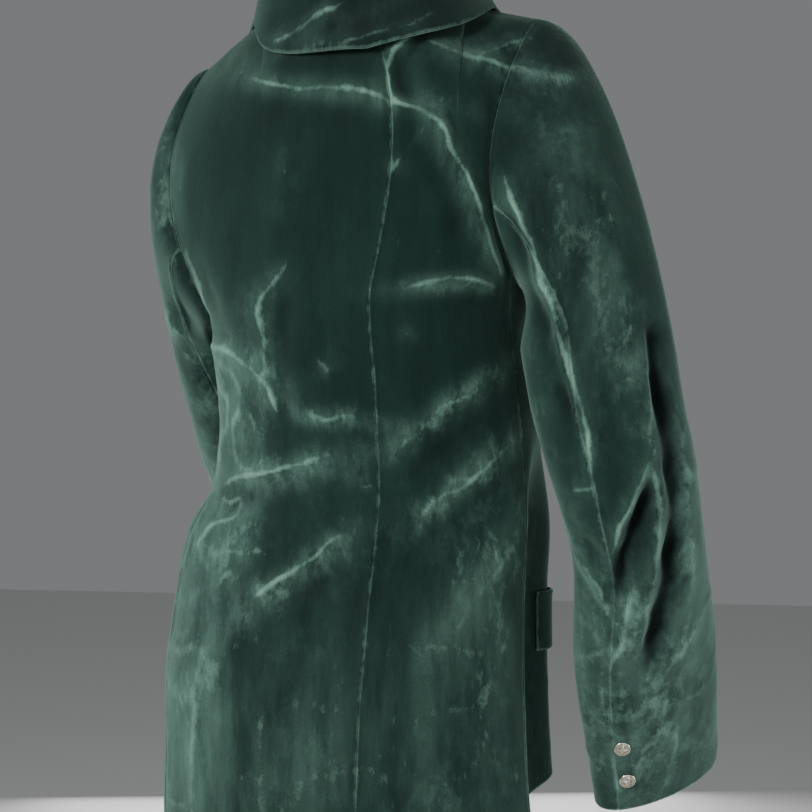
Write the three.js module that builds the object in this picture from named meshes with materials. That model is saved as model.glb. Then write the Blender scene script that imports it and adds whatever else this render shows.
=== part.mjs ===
// A worn, unlined velvet blazer with open fronts. Millimetres, +Z up. The wearer faces -Y, the
// wearer's left is +X, and the origin is at the nape, where the neck and shoulders carry it.
import * as THREE from 'three';

const { abs, asin, cos, exp, hypot, max, min, PI, sign, sin } = Math;
const RAD = PI / 180;

// Driving dimensions.
const HEM = -685;
// The side panels' hems rise from the back's to the shorter fronts'.
const FRONT_HEM = -650;
const CLOTH = 1.8;
const SEAM_GAP = 0.4;
const ROUNDNESS = 0.93;
const BREAK = -335;
const RISE = 0.6;
const NAPE_TOP = -228;
const PEEL = 2.6;

const COLOURS = { velvet: 0x1f4638, metal: 0xb9a888 };

// Trunk: height, half widths on the wearer's left and right, depths behind and in front of the
// centre line, and where the centre back seam and the two front edges run.
const TRUNK = [
  { z: -685, left: 188.5, right: 158, back: 112, front: 122, seam: 1, edgeLeft: 62, edgeRight: 66 },
  { z: -630, left: 187, right: 153, back: 112, front: 119, seam: -1, edgeLeft: 54, edgeRight: 58 },
  { z: -560, left: 186, right: 150, back: 110, front: 116, seam: -4, edgeLeft: 48, edgeRight: 52 },
  { z: -490, left: 177.5, right: 149, back: 103, front: 112, seam: -9, edgeLeft: 42, edgeRight: 46 },
  { z: -430, left: 164, right: 151, back: 92, front: 110, seam: -14, edgeLeft: 36, edgeRight: 40 },
  { z: -392, left: 143, right: 149, back: 87, front: 109, seam: -16, edgeLeft: 32, edgeRight: 35 },
  { z: -345, left: 137, right: 143, back: 90, front: 109, seam: -15, edgeLeft: 26, edgeRight: 29 },
  { z: -300, left: 140, right: 139, back: 97, front: 111, seam: -14, edgeLeft: 31, edgeRight: 33 },
  { z: -255, left: 144, right: 133, back: 103, front: 111, seam: -11, edgeLeft: 38, edgeRight: 39 },
  { z: -205, left: 152, right: 136, back: 107, front: 109, seam: -11, edgeLeft: 46, edgeRight: 46 },
];

// Where each half's seams run, in degrees round the trunk, how full its sleeve stands out under
// the arm and on top, how far it is tucked in behind, how long it runs straight into the arm
// below, and its neck, shoulder and armhole points.
const HALF = {
  left: {
    side: 1, top: -245, backSeam: 72, frontSeam: 112, slack: 16, full: 50, tuck: 0, pull: 24,
    neck: [92, 2, 17], tip: [150, -14, -27],
    armhole: [
      { at: 'upper back', x: 176, y: 16, z: -98 },
      { at: 'mid back', x: 172, y: 30, z: -168 },
      { at: 'underarm', x: 139, y: -6, z: -253 },
      { at: 'mid front', x: 140, y: -66, z: -180 },
      { at: 'upper front', x: 146, y: -48, z: -92 },
    ],
  },
  right: {
    side: -1, top: -212, backSeam: 64, frontSeam: 112, slack: 10, full: 55, tuck: 0.6, pull: 12,
    neck: [-80, 2, 20], tip: [-142, 8, 5],
    armhole: [
      { at: 'upper back', x: -116, y: 58, z: -58 },
      { at: 'mid back', x: -106, y: 76, z: -135 },
      { at: 'underarm', x: -132, y: 10, z: -226 },
      { at: 'mid front', x: -140, y: -50, z: -150 },
      { at: 'upper front', x: -146, y: -32, z: -58 },
    ],
  },
};
const NAPE = [-6, 60, 0];

// Arms: share of the way down, the tube's centre, its half width and half depth, and how far it
// is turned about its own line.
const ARM = {
  left: [
    { along: 0, x: 161, y: -80, z: -292, wide: 33, deep: 58, turn: 0 },
    { along: 0.2, x: 151, y: -108, z: -344, wide: 36, deep: 54, turn: 4 },
    { along: 0.38, x: 142, y: -146, z: -386, wide: 41, deep: 50, turn: 8 },
    { along: 0.55, x: 130, y: -204, z: -410, wide: 46, deep: 45, turn: 12 },
    { along: 0.78, x: 113, y: -278, z: -428, wide: 47, deep: 38, turn: 16 },
    { along: 1, x: 98, y: -348, z: -444, wide: 48, deep: 33, turn: 20 },
  ],
  right: [
    { along: 0, x: -193, y: 72, z: -266, wide: 62, deep: 46, turn: 0 },
    { along: 0.18, x: -203, y: 74, z: -322, wide: 61, deep: 47, turn: 2 },
    { along: 0.36, x: -218, y: 72, z: -384, wide: 57, deep: 48, turn: 8 },
    { along: 0.55, x: -229, y: 50, z: -446, wide: 55, deep: 45, turn: 18 },
    { along: 0.78, x: -234, y: 8, z: -540, wide: 63, deep: 38, turn: 28 },
    { along: 1, x: -244, y: -46, z: -653, wide: 63, deep: 29, turn: 38 },
  ],
};

// The largest folds, each a path across the back as it is seen from behind the right shoulder:
// distance to the wearer's right of the centre line, and height. A ridge is high, a trough
// low; `wide` is half its width.
const FOLDS = {
  trunk: [
    {
      name: 'blade', high: 7, wide: 13,
      path: [[32, -22], [12, -52], [25, -80], [52, -92], [80, -150], [104, -212]],
    },
    {
      name: 'blade hollow', high: -5, wide: 14,
      path: [[36, -122], [62, -168], [86, -215]],
    },
    {
      name: 'left ladder', high: 5, wide: 12,
      path: [[-66, -204], [-90, -240], [-88, -290], [-84, -312]],
    },
    {
      name: 'left side', high: 6, wide: 13,
      path: [[-138, -272], [-100, -286], [-80, -316], [-77, -334]],
    },
    {
      name: 'waist', high: 6, wide: 14,
      path: [[-130, -394], [-92, -380], [-34, -364]],
    },
    {
      name: 'waist pinch', high: -6, wide: 14,
      path: [[-132, -412], [-104, -418], [-60, -404]],
    },
    {
      name: 'left hip', high: 6, wide: 13,
      path: [[-100, -482], [-66, -460], [-30, -430], [-20, -424]],
    },
    {
      name: 'right waist', high: 5, wide: 17,
      path: [[34, -416], [90, -376], [118, -344]],
    },
    {
      name: 'right waist hollow', high: -4, wide: 16,
      path: [[44, -372], [92, -334], [114, -318]],
    },
    {
      name: 'right back', high: 5, wide: 17,
      path: [[10, -368], [62, -320], [110, -294]],
    },
    {
      name: 'right underarm', high: 5, wide: 11,
      path: [[22, -230], [70, -220], [108, -226]],
    },
  ],
  arm: [
    {
      name: 'hind arm', high: 5, wide: 11,
      path: [[108, -122], [132, -188], [156, -260], [172, -316], [184, -362]],
    },
    {
      name: 'hind arm hollow', high: -8, wide: 11,
      path: [[126, -132], [150, -196], [173, -262], [188, -316], [196, -366]],
    },
    {
      name: 'elbow point', high: -10, wide: 12,
      path: [[232, -370], [224, -396], [206, -438], [200, -472], [195, -516]],
    },
    {
      name: 'elbow', high: 6, wide: 13,
      path: [[244, -384], [236, -430], [224, -470], [212, -520], [208, -556]],
    },
    {
      name: 'outer hollow', high: -9, wide: 12,
      path: [[236, -262], [246, -322], [252, -390], [250, -456], [241, -506]],
    },
    {
      name: 'inner elbow', high: 6, wide: 12,
      path: [[156, -396], [168, -442], [190, -480]],
    },
  ],
};
const REAR = [-0.139, 0.99, 0];
const FOLD_END = { length: 26, least: 0.25 };

const V = (x, y, z) => new THREE.Vector3(x, y, z);
const lerp = (a, b, t) => a + (b - a) * t;
const mix = (a, b, t) => a.clone().lerp(b, t);
const ease = (t) => t * t * (3 - 2 * t);
const clamp = (t) => min(max(t, 0), 1);

// Smooth value of one column of a table against another that rises from row to row.
function reader(rows, key, column) {
  const slope = rows.map((row, i) => {
    const before = rows[max(i - 1, 0)];
    const after = rows[min(i + 1, rows.length - 1)];
    return (after[column] - before[column]) / (after[key] - before[key]);
  });
  return (at) => {
    let i = 0;
    while (i < rows.length - 2 && at > rows[i + 1][key]) i += 1;
    const span = rows[i + 1][key] - rows[i][key];
    const t = clamp((at - rows[i][key]) / span);
    const a = rows[i][column];
    const b = rows[i + 1][column];
    const rise = (t ** 3 - 2 * t ** 2 + t) * slope[i] + (t ** 3 - t ** 2) * slope[i + 1];
    return lerp(a, b, ease(t)) + span * rise;
  };
}

function readers(rows, key) {
  const columns = Object.keys(rows[0]).filter((name) => name !== key);
  return Object.fromEntries(columns.map((name) => [name, reader(rows, key, name)]));
}

function bezier(a, b, c, d, t) {
  const s = 1 - t;
  return a.clone().multiplyScalar(s ** 3)
    .addScaledVector(b, 3 * s * s * t)
    .addScaledVector(c, 3 * s * t * t)
    .addScaledVector(d, t ** 3);
}

// A wall of cloth behind the surface `at(u, v)`: both faces and the four edges, set back from
// the panel's own boundary by half a seam gap. `rim` gives the wall's direction along seams
// where two panels meet at an angle, and nothing elsewhere.
function cloth(at, across, along, flip, rim = () => null) {
  const step = 0.004;
  const outer = [];
  const inner = [];
  for (let j = 0; j <= along; j += 1) {
    for (let i = 0; i <= across; i += 1) {
      const u = i / across;
      const v = j / along;
      const du = at(u + step, v).sub(at(u - step, v));
      const dv = at(u, v + step).sub(at(u, v - step));
      const normal = rim(u, v) || du.cross(dv).normalize().multiplyScalar(flip ? -1 : 1);
      const point = at(u, v);
      outer.push(point);
      inner.push(point.clone().addScaledVector(normal, -CLOTH));
    }
  }
  const index = (i, j) => j * (across + 1) + i;
  for (const skin of [outer, inner]) {
    const moved = skin.map((p) => p.clone());
    const pull = (k, inward) => {
      const way = skin[inward].clone().sub(skin[k]).normalize();
      moved[k].addScaledVector(way, SEAM_GAP / 2);
    };
    for (let j = 0; j <= along; j += 1) {
      pull(index(0, j), index(1, j));
      pull(index(across, j), index(across - 1, j));
    }
    for (let i = 0; i <= across; i += 1) {
      pull(index(i, 0), index(i, 1));
      pull(index(i, along), index(i, along - 1));
    }
    moved.forEach((p, k) => skin[k].copy(p));
  }
  return wallMesh(outer, inner, across, along, flip);
}

function wallMesh(outer, inner, across, along, flip) {
  const points = [...outer, ...inner];
  const back = outer.length;
  const index = (i, j) => j * (across + 1) + i;
  const faces = [];
  const quad = (a, b, c, d) => {
    if (flip) faces.push(a, c, b, a, d, c);
    else faces.push(a, b, c, a, c, d);
  };
  for (let j = 0; j < along; j += 1) {
    for (let i = 0; i < across; i += 1) {
      const ring = [index(i, j), index(i + 1, j), index(i + 1, j + 1), index(i, j + 1)];
      quad(...ring);
      quad(...ring.map((k) => k + back).reverse());
    }
  }
  const side = (a, b) => quad(b, a, a + back, b + back);
  for (let i = 0; i < across; i += 1) {
    side(index(i, 0), index(i + 1, 0));
    side(index(i + 1, along), index(i, along));
  }
  // Both edges of a lengthwise seam are split along the same diagonal, so they stay parallel.
  for (let j = 0; j < along; j += 1) {
    const [low, high] = [index(0, j), index(0, j + 1)];
    side(index(across, j), index(across, j + 1));
    quad(high, high + back, low + back, low);
  }
  const geometry = new THREE.BufferGeometry();
  const place = points.flatMap((p) => [p.x, p.y, p.z]);
  geometry.setAttribute('position', new THREE.Float32BufferAttribute(place, 3));
  geometry.setIndex(faces);
  geometry.computeVertexNormals();
  return geometry;
}

// How high the folds of a table stand at a point, from its nearest place on each path.
function foldHeight(folds, point) {
  const across = -point.x * REAR[1] + point.y * REAR[0];
  let sum = 0;
  for (const { high, wide, path } of folds) {
    let nearest = Infinity;
    let along = 0;
    let passed = 0;
    for (let i = 1; i < path.length; i += 1) {
      const [ax, az] = path[i - 1];
      const [dx, dz] = [path[i][0] - ax, path[i][1] - az];
      const length = hypot(dx, dz);
      const t = clamp(((across - ax) * dx + (point.z - az) * dz) / (length * length));
      const gap = hypot(across - ax - t * dx, point.z - az - t * dz);
      if (gap < nearest) {
        nearest = gap;
        along = passed + t * length;
      }
      passed += length;
    }
    const swell = (from) => ease(clamp(from / FOLD_END.length + FOLD_END.least));
    sum += high * swell(along) * swell(passed - along) * exp(-((nearest / wide) ** 2));
  }
  return sum;
}

// Moves a point of the back or of the rear of a sleeve out by its folds.
function drape(folds, point, share) {
  return point.addScaledVector(V(...REAR), clamp(share) * foldHeight(folds, point));
}

// Direction square to a surface, on the side that faces a given way.
function outward(at, u, v, facing) {
  const step = 0.01;
  const du = at(u + step, v).sub(at(u - step, v));
  const dv = at(u, v + step).sub(at(u, v - step));
  const normal = du.cross(dv).normalize();
  return normal.dot(facing) < 0 ? normal.negate() : normal;
}

// Trunk: one rounded section at each height. Angle 0 is the centre back, a right angle the
// wearer's side, and the sign is the side's.
const trunkAt = readers(TRUNK, 'z');

function trunk(angle, z) {
  const half = angle > 0 ? trunkAt.left(z) : trunkAt.right(z);
  const deep = cos(angle) > 0 ? trunkAt.back(z) : trunkAt.front(z);
  const groove = sideHollow(angle, z);
  const x = sign(angle) * (half - groove) * abs(sin(angle)) ** ROUNDNESS;
  const y = sign(cos(angle)) * deep * abs(cos(angle)) ** ROUNDNESS;
  return V(x, y, z);
}

// The long hollow that drops from the right underarm behind the hanging front, and the swell of
// the front beside it: degrees round the trunk, half widths in degrees, and depths.
const HOLLOW = { at: -86, wide: 15, deep: 27, from: -330, fade: 110 };
const SWELL = { at: -106, wide: 12, high: 9.5 };

function sideHollow(angle, z) {
  const fade = ease(clamp((HOLLOW.from - z) / HOLLOW.fade));
  const away = (angle / RAD - HOLLOW.at) / HOLLOW.wide;
  const front = (angle / RAD - SWELL.at) / SWELL.wide;
  return fade * (HOLLOW.deep * exp(-away * away) - SWELL.high * exp(-front * front));
}

// The angle at which the section at a height is a given distance from the centre line.
function angleAt(x, z, before) {
  const half = x > 0 ? trunkAt.left(z) : trunkAt.right(z);
  const angle = asin((abs(x) / half) ** (1 / ROUNDNESS));
  return sign(x) * (before ? PI - angle : angle);
}

const seamAngle = (z) => angleAt(trunkAt.seam(z), z, false);

function edgeAngle(half, z) {
  const x = half.side > 0 ? trunkAt.edgeLeft(z) : -trunkAt.edgeRight(z);
  return angleAt(x, z, true);
}

// The armhole: a loop from the shoulder point down the back, under the arm and up the front.
function armholeLoop(half) {
  const spot = (name) => {
    const { x, y, z } = half.armhole.find((row) => row.at === name);
    return V(x, y, z);
  };
  return new THREE.CatmullRomCurve3([
    V(...half.tip),
    spot('upper back'),
    spot('mid back'),
    trunk(half.side * half.backSeam * RAD, half.top),
    spot('underarm'),
    trunk(half.side * half.frontSeam * RAD, half.top),
    spot('mid front'),
    spot('upper front'),
  ], true, 'centripetal');
}

for (const half of Object.values(HALF)) half.loop = armholeLoop(half);
const armhole = (half, place) => half.loop.getPoint(((place / PLACE.round) % 1 + 1) % 1);

// Above the underarm each column of a panel leaves the trunk's section and bends over the
// shoulder to its head, a point of the neck or of the shoulder seam.
const COLUMN_PULL = 0.42;

function column(angle, z, head, leaving, t) {
  const foot = trunk(angle, z);
  const up = foot.clone().sub(trunk(angle, z - 12)).normalize();
  const near = foot.clone().addScaledVector(up, COLUMN_PULL * (head.z - z));
  return bezier(foot, near, head.clone().add(leaving), head, t);
}

const NECK_SHARE = 0.42;

function backHead(half, u) {
  const neck = V(...half.neck);
  const nape = V(...NAPE);
  if (u < NECK_SHARE) {
    const turn = (u / NECK_SHARE) * PI / 2;
    return V(
      lerp(nape.x, neck.x, sin(turn)),
      lerp(neck.y, nape.y, cos(turn)),
      lerp(nape.z, neck.z, u / NECK_SHARE),
    );
  }
  return mix(neck, V(...half.tip), (u - NECK_SHARE) / (1 - NECK_SHARE));
}

// How a back column leaves its head: out to the fullness of the shoulder blades, and down.
const BLADES = { centre: 87, side: 54, fall: 1.3 };
const DROP = { nape: 54, neck: 34, tip: 20 };

function backLeaving(u, head) {
  const fullness = lerp(BLADES.centre, BLADES.side, clamp(u) ** BLADES.fall);
  const drop = u < NECK_SHARE
    ? lerp(DROP.nape, DROP.neck, u / NECK_SHARE)
    : lerp(DROP.neck, DROP.tip, (u - NECK_SHARE) / (1 - NECK_SHARE));
  return V(0, fullness - head.y, -drop);
}

// A panel follows the trunk or its columns inside and the armhole at its own edge; REACH sets how
// soon it turns to the armhole, BEND how far the centre back bows, and FOLD_HEM how quickly the
// folds rise from a panel's edges.
const REACH = 2.2;
const BEND = 20;
const FOLD_HEM = 5;
const PLACE = { back: 3, front: 5, round: 8 };

function backPanel(half) {
  const { side, top } = half;
  return (u, v) => {
    const foot = lerp(NAPE_TOP, top, clamp(u));
    if (v < RISE) {
      const z = lerp(HEM, foot, v / RISE);
      const flat = trunk(lerp(seamAngle(z), side * half.backSeam * RAD, u), z);
      return drape(FOLDS.trunk, flat, (1 - u) * FOLD_HEM);
    }
    const t = (v - RISE) / (1 - RISE);
    const angle = lerp(seamAngle(foot), side * half.backSeam * RAD, u);
    const at = (share, ang, z) => {
      const head = backHead(half, share);
      return column(ang, z, head, backLeaving(share, head), t);
    };
    const point = at(u, angle, foot);
    point.x -= BEND * sin(PI * t) * (1 - u) ** 2;
    const edge = armhole(half, PLACE.back * (1 - t));
    const off = edge.sub(at(1, side * half.backSeam * RAD, top));
    point.addScaledVector(off, max(u, 0) ** REACH);
    return drape(FOLDS.trunk, point, min(1 - u, 1 - t) * FOLD_HEM);
  };
}

const SIDE_TURN = 0.7;

function sidePanel(half) {
  return (u, v) => {
    const edge = armhole(half, lerp(PLACE.back, PLACE.front, u));
    const angle = half.side * lerp(half.backSeam, half.frontSeam, u) * RAD;
    const z = lerp(lerp(HEM, FRONT_HEM, ease(clamp(u))), edge.z, v);
    const off = edge.sub(trunk(angle, edge.z));
    return trunk(angle, z).addScaledVector(off, ease(clamp((v - SIDE_TURN) / (1 - SIDE_TURN))));
  };
}

// How the front leaves the shoulder seam, at the armhole and at the neck.
const CHEST = { armhole: [0, -48, -19], neck: [0, -42, -31] };

function frontPanel(half) {
  const { side, top } = half;
  const neck = V(...half.neck);
  const tip = V(...half.tip);
  return (u, v) => {
    if (v < RISE) {
      const z = lerp(FRONT_HEM, top, v / RISE);
      return trunk(lerp(side * half.frontSeam * RAD, edgeAngle(half, z), u), z);
    }
    const t = (v - RISE) / (1 - RISE);
    const ends = [side * half.frontSeam * RAD, edgeAngle(half, top)];
    const down = mix(V(...CHEST.armhole), V(...CHEST.neck), u);
    const at = (share) => column(lerp(...ends, share), top, mix(tip, neck, share), down, t);
    const edge = armhole(half, lerp(PLACE.front, PLACE.round, t));
    return at(u).addScaledVector(edge.sub(at(0)), max(1 - u, 0) ** REACH);
  };
}

// Along the armhole and the shoulder seam both neighbours share one mitred direction.
const MITRE = { middle: 0.6, swing: 0.45 };

function armholeRim(half, place) {
  const turn = (place / PLACE.round) * 2 * PI;
  const middle = mix(armhole(half, 2), armhole(half, 6), 0.5);
  const away = armhole(half, place).sub(middle).setX(0).normalize();
  return away.add(V(half.side * (MITRE.middle - MITRE.swing * cos(turn)), 0, 0)).normalize();
}

function shoulderRim(half) {
  const seam = V(...half.tip).sub(V(...half.neck));
  const up = seam.cross(V(0, 1, 0)).normalize();
  return up.z < 0 ? up.negate() : up;
}

// Down the trunk's own seams it is square to the section.
function trunkRim(half, seam, v) {
  const angle = half.side * seam * RAD;
  const z = lerp(seam === half.frontSeam ? FRONT_HEM : HEM, half.top, v);
  const round = trunk(angle + RAD, z).sub(trunk(angle - RAD, z));
  return trunk(angle, z + 2).sub(trunk(angle, z - 2)).cross(round).normalize();
}

const upperShare = (v) => (v - RISE) / (1 - RISE);
const RIMS = {
  back: (half) => (u, v) => {
    if (u < 1) return v >= 1 && u > NECK_SHARE ? shoulderRim(half) : null;
    if (v < RISE) return trunkRim(half, half.backSeam, v / RISE);
    return armholeRim(half, PLACE.back * (1 - upperShare(v)));
  },
  side: (half) => (u, v) => {
    if (v >= 1) return armholeRim(half, lerp(PLACE.back, PLACE.front, u));
    if (u > 0 && u < 1) return null;
    return trunkRim(half, u > 0 ? half.frontSeam : half.backSeam, v);
  },
  front: (half) => (u, v) => {
    if (u > 0) return v >= 1 ? shoulderRim(half) : null;
    if (v < RISE) return trunkRim(half, half.frontSeam, v / RISE);
    return armholeRim(half, lerp(PLACE.front, PLACE.round, upperShare(v)));
  },
};

// Sleeves: a tube along the arm, joined to the armhole by a cap.
const CAP_SHARE = 0.36;
const CAP = { rear: 0.35, rise: 0.1, dip: 0.5, pull: 44 };
const ARM_FOLDS = { round: 2.2, top: 6 };

function armTube(name) {
  const row = readers(ARM[name], 'along');
  const { side } = HALF[name];
  const centre = (t) => V(row.x(t), row.y(t), row.z(t));
  return (turn, t) => {
    const down = centre(min(t + 0.02, 1)).sub(centre(max(t - 0.02, 0))).normalize();
    const yaw = row.turn(t) * RAD;
    const out = V(side * cos(yaw), -sin(yaw), 0);
    out.addScaledVector(down, -out.dot(down)).normalize();
    const rear = down.clone().cross(out).multiplyScalar(-side);
    const point = centre(t)
      .addScaledVector(out, row.wide(t) * cos(turn))
      .addScaledVector(rear, row.deep(t) * sin(turn));
    return { point, down };
  };
}

// `place` counts the armhole's points: 0 on top, 2 behind, 4 under the arm, 6 in front.
function sleeve(name) {
  const half = HALF[name];
  const tube = armTube(name);
  const folds = half.side < 0 ? FOLDS.arm : [];
  return (place, t) => {
    const turn = (place / PLACE.round) * 2 * PI;
    const share = min(ARM_FOLDS.round * sin(turn), ARM_FOLDS.top * t);
    const fold = (point) => drape(folds, point, share);
    if (t > CAP_SHARE) return fold(tube(turn, (t - CAP_SHARE) / (1 - CAP_SHARE)).point);
    const head = armhole(half, place);
    const { point, down } = tube(turn, 0);
    const over = (1 + cos(turn)) / 2;
    const outwards = half.side * (1 - half.tuck * max(sin(turn), 0));
    const spread = V(outwards, CAP.rear * sin(turn), CAP.rise - CAP.dip * (1 - over)).normalize();
    const start = head.clone().addScaledVector(spread, lerp(half.slack, half.full, over));
    const end = point.clone().addScaledVector(down, -lerp(half.pull, CAP.pull, over));
    return fold(bezier(head, start, end, point, t / CAP_SHARE));
  };
}

// From the far side of the sleeve to a point of it.
const fromInside = (at, place, t) => at(place, t).sub(at(place + PLACE.round / 2, t));

// The hind seam starts at `hind` on the armhole and winds inwards by `wind` down to the cuff,
// slowly at first, as `bow` has it.
const SLEEVE_SEAMS = { hind: 2.25, wind: 1, bow: 1.6, fore: 5.5 };

function sleevePiece(name, upper) {
  const at = sleeve(name);
  const { hind, wind, bow, fore } = SLEEVE_SEAMS;
  const place = (u, v) => {
    const seam = hind + wind * clamp(v) ** bow;
    return upper ? lerp(fore - PLACE.round, seam, u) : lerp(seam, fore, u);
  };
  const rim = (u, v) => {
    const spot = place(u, v);
    if (v <= 0) return armholeRim(HALF[name], spot);
    return u > 0 && u < 1 ? null : outward(at, spot, v, fromInside(at, spot, v));
  };
  return { at: (u, v) => at(place(u, v), v), rim };
}

// Collar: a stand round the neck that rolls over into a fall. `place` runs from 0 at the nape
// to 1 at the neck point and 2 at the gorge, down the front's roll line.
const GORGE = 0.79;
const COLLAR = [
  // height of the stand, and on each side how long the fall is and how steeply it hangs, in degrees
  { place: 0, stand: 40, fallLeft: 67, fallRight: 67, steepLeft: 77, steepRight: 77 },
  { place: 0.5, stand: 38, fallLeft: 70, fallRight: 56, steepLeft: 80, steepRight: 70 },
  { place: 1, stand: 32, fallLeft: 36, fallRight: 36, steepLeft: 78, steepRight: 60 },
  { place: 1.5, stand: 15, fallLeft: 40, fallRight: 40, steepLeft: 28, steepRight: 22 },
  { place: 2, stand: 5, fallLeft: 40, fallRight: 40, steepLeft: 0, steepRight: 0 },
];
const COLLAR_PROFILE = { standShare: 0.26, rollShare: 0.3, roll: 4, rollOfStand: 0.6, foot: 1.7 };
const STAND_UP = [0, -0.12, 0.99];
const COLLAR_TURN = 1.6;
const collarAt = readers(COLLAR, 'place');

// Foot of the collar with the directions in which its stand rises and its fall spreads.
function collarFoot(half, place) {
  const front = frontPanel(half);
  if (place <= 1) {
    const foot = backHead(half, place * NECK_SHARE);
    const turn = place * PI / 2;
    const away = V(half.side * sin(turn), cos(turn), 0).normalize();
    return { foot, rise: V(...STAND_UP), away };
  }
  const t = place - 1;
  const v = lerp(1, GORGE, t);
  const normal = outward(front, 1, v, V(0, -1, 0.3));
  const foot = front(1, v).addScaledVector(normal, PEEL * t);
  const over = front(0.9, v).sub(front(1, v)).normalize();
  const turned = ease(clamp(t * COLLAR_TURN));
  const rise = mix(V(...STAND_UP), normal, turned).normalize();
  const away = mix(V(half.side, 0, 0), over, turned).normalize();
  return { foot, rise, away };
}

function collarPoint(q, p) {
  const half = q > 0 ? HALF.left : HALF.right;
  const place = abs(q);
  const { foot, rise, away } = collarFoot(half, place);
  const stand = collarAt.stand(place);
  const { standShare, rollShare, rollOfStand, foot: lift } = COLLAR_PROFILE;
  const roll = min(COLLAR_PROFILE.roll, stand * rollOfStand);
  const steep = (q > 0 ? collarAt.steepLeft(place) : collarAt.steepRight(place)) * RAD;
  const fall = q > 0 ? collarAt.fallLeft(place) : collarAt.fallRight(place);
  let out = 0;
  let up = lerp(lift, stand - roll, min(p / standShare, 1));
  if (p > standShare) {
    const turn = PI - clamp((p - standShare) / rollShare) * (PI / 2 + steep);
    out = roll + roll * cos(turn);
    up = stand - roll + roll * sin(turn);
  }
  const down = max(p - standShare - rollShare, 0) / (1 - standShare - rollShare);
  const length = down * fall;
  const free = foot.addScaledVector(away, out + length * cos(steep))
    .addScaledVector(rise, up - length * sin(steep));
  if (place <= 1) return free;
  const front = frontPanel(half);
  const v = lerp(1, GORGE, place - 1);
  const row = 2 * front(1, v).distanceTo(front(0.5, v));
  const share = 1 - (out + length) / row;
  const normal = outward(front, share, v, V(0, -1, 0.3));
  const laid = front(share, v).addScaledVector(normal, PEEL + max(up, CLOTH + SEAM_GAP));
  return free.lerp(laid, ease(clamp((place - 1) * COLLAR_TURN)));
}

// Lapel: the front's facing turned out along the roll line, from the break up to the gorge.
const LAPEL = { width: 80, notch: 0.012, bow: 0.72, gorgeGap: 0.006, belly: 2.2, rollOut: 1 };

function lapel(half) {
  const front = frontPanel(half);
  const low = RISE * (BREAK - FRONT_HEM) / (half.top - FRONT_HEM);
  return (u, v) => {
    const at = lerp(low, GORGE - LAPEL.gorgeGap, v) - LAPEL.notch * u * v ** 5;
    const row = 2 * front(1, at).distanceTo(front(0.5, at));
    const out = LAPEL.width * sin(clamp(v) * PI / 2) ** LAPEL.bow * u + LAPEL.rollOut;
    const share = 1 - out / row;
    const lift = PEEL + CLOTH + LAPEL.belly * sin(PI * clamp(u)) * v;
    return front(share, at).addScaledVector(outward(front, share, at, V(0, -1, 0)), lift);
  };
}

// Hip flap on the trunk's side, moved out by its own cloth and a little air.
const FLAP = { top: -486, drop: 52, from: 97, to: 137, lift: 2.6 };

function flap(half) {
  const at = (u, v) => {
    const angle = half.side * lerp(FLAP.from, FLAP.to, u) * RAD;
    return trunk(angle, FLAP.top - FLAP.drop * (1 - v));
  };
  return (u, v) => {
    const away = V(at(u, v).x, at(u, v).y, 0);
    return at(u, v).addScaledVector(outward(at, u, v, away), FLAP.lift + CLOTH);
  };
}

// Buttons: a domed metal disc, in rings of its radius against its height.
const BUTTON = { sides: 10, gap: 0.5 };
const CUFF_BUTTON = { radius: 7, height: 4.2, place: 2.93, rows: [0.926, 0.964] };
const FRONT_BUTTON = { radius: 9, height: 4.6, in: 0.94, drop: 12 };
const DOME = [[1, 0], [1, 0.4], [0.74, 0.86]];

function button({ radius, height }) {
  const points = [0, 0, 0];
  for (const [r, h] of DOME) {
    for (let k = 0; k < BUTTON.sides; k += 1) {
      const turn = (k / BUTTON.sides) * 2 * PI;
      points.push(radius * r * cos(turn), radius * r * sin(turn), height * h);
    }
  }
  points.push(0, 0, height);
  const top = DOME.length * BUTTON.sides + 1;
  const faces = [];
  for (let k = 0; k < BUTTON.sides; k += 1) {
    const next = (k + 1) % BUTTON.sides;
    faces.push(0, 1 + next, 1 + k);
    for (let ring = 0; ring < DOME.length - 1; ring += 1) {
      const low = 1 + ring * BUTTON.sides;
      const high = low + BUTTON.sides;
      faces.push(low + k, low + next, high + next, low + k, high + next, high + k);
    }
    faces.push(top - BUTTON.sides + k, top - BUTTON.sides + next, top);
  }
  const geometry = new THREE.BufferGeometry();
  geometry.setAttribute('position', new THREE.Float32BufferAttribute(points, 3));
  geometry.setIndex(faces);
  geometry.computeVertexNormals();
  return geometry;
}

// Sets a button on a surface, facing out of it.
function sewOn(shape, at, u, v, facing) {
  const normal = outward(at, u, v, facing);
  const turn = new THREE.Quaternion().setFromUnitVectors(V(0, 0, 1), normal);
  const spot = at(u, v).addScaledVector(normal, BUTTON.gap);
  return button(shape).applyQuaternion(turn).translate(spot.x, spot.y, spot.z);
}

// Assembly.
const group = new THREE.Group();

function add(name, geometry, colour, metalness = 0, roughness = 0.85) {
  const material = new THREE.MeshStandardMaterial({ color: colour, roughness, metalness });
  const mesh = new THREE.Mesh(geometry, material);
  mesh.name = name;
  group.add(mesh);
}

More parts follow.
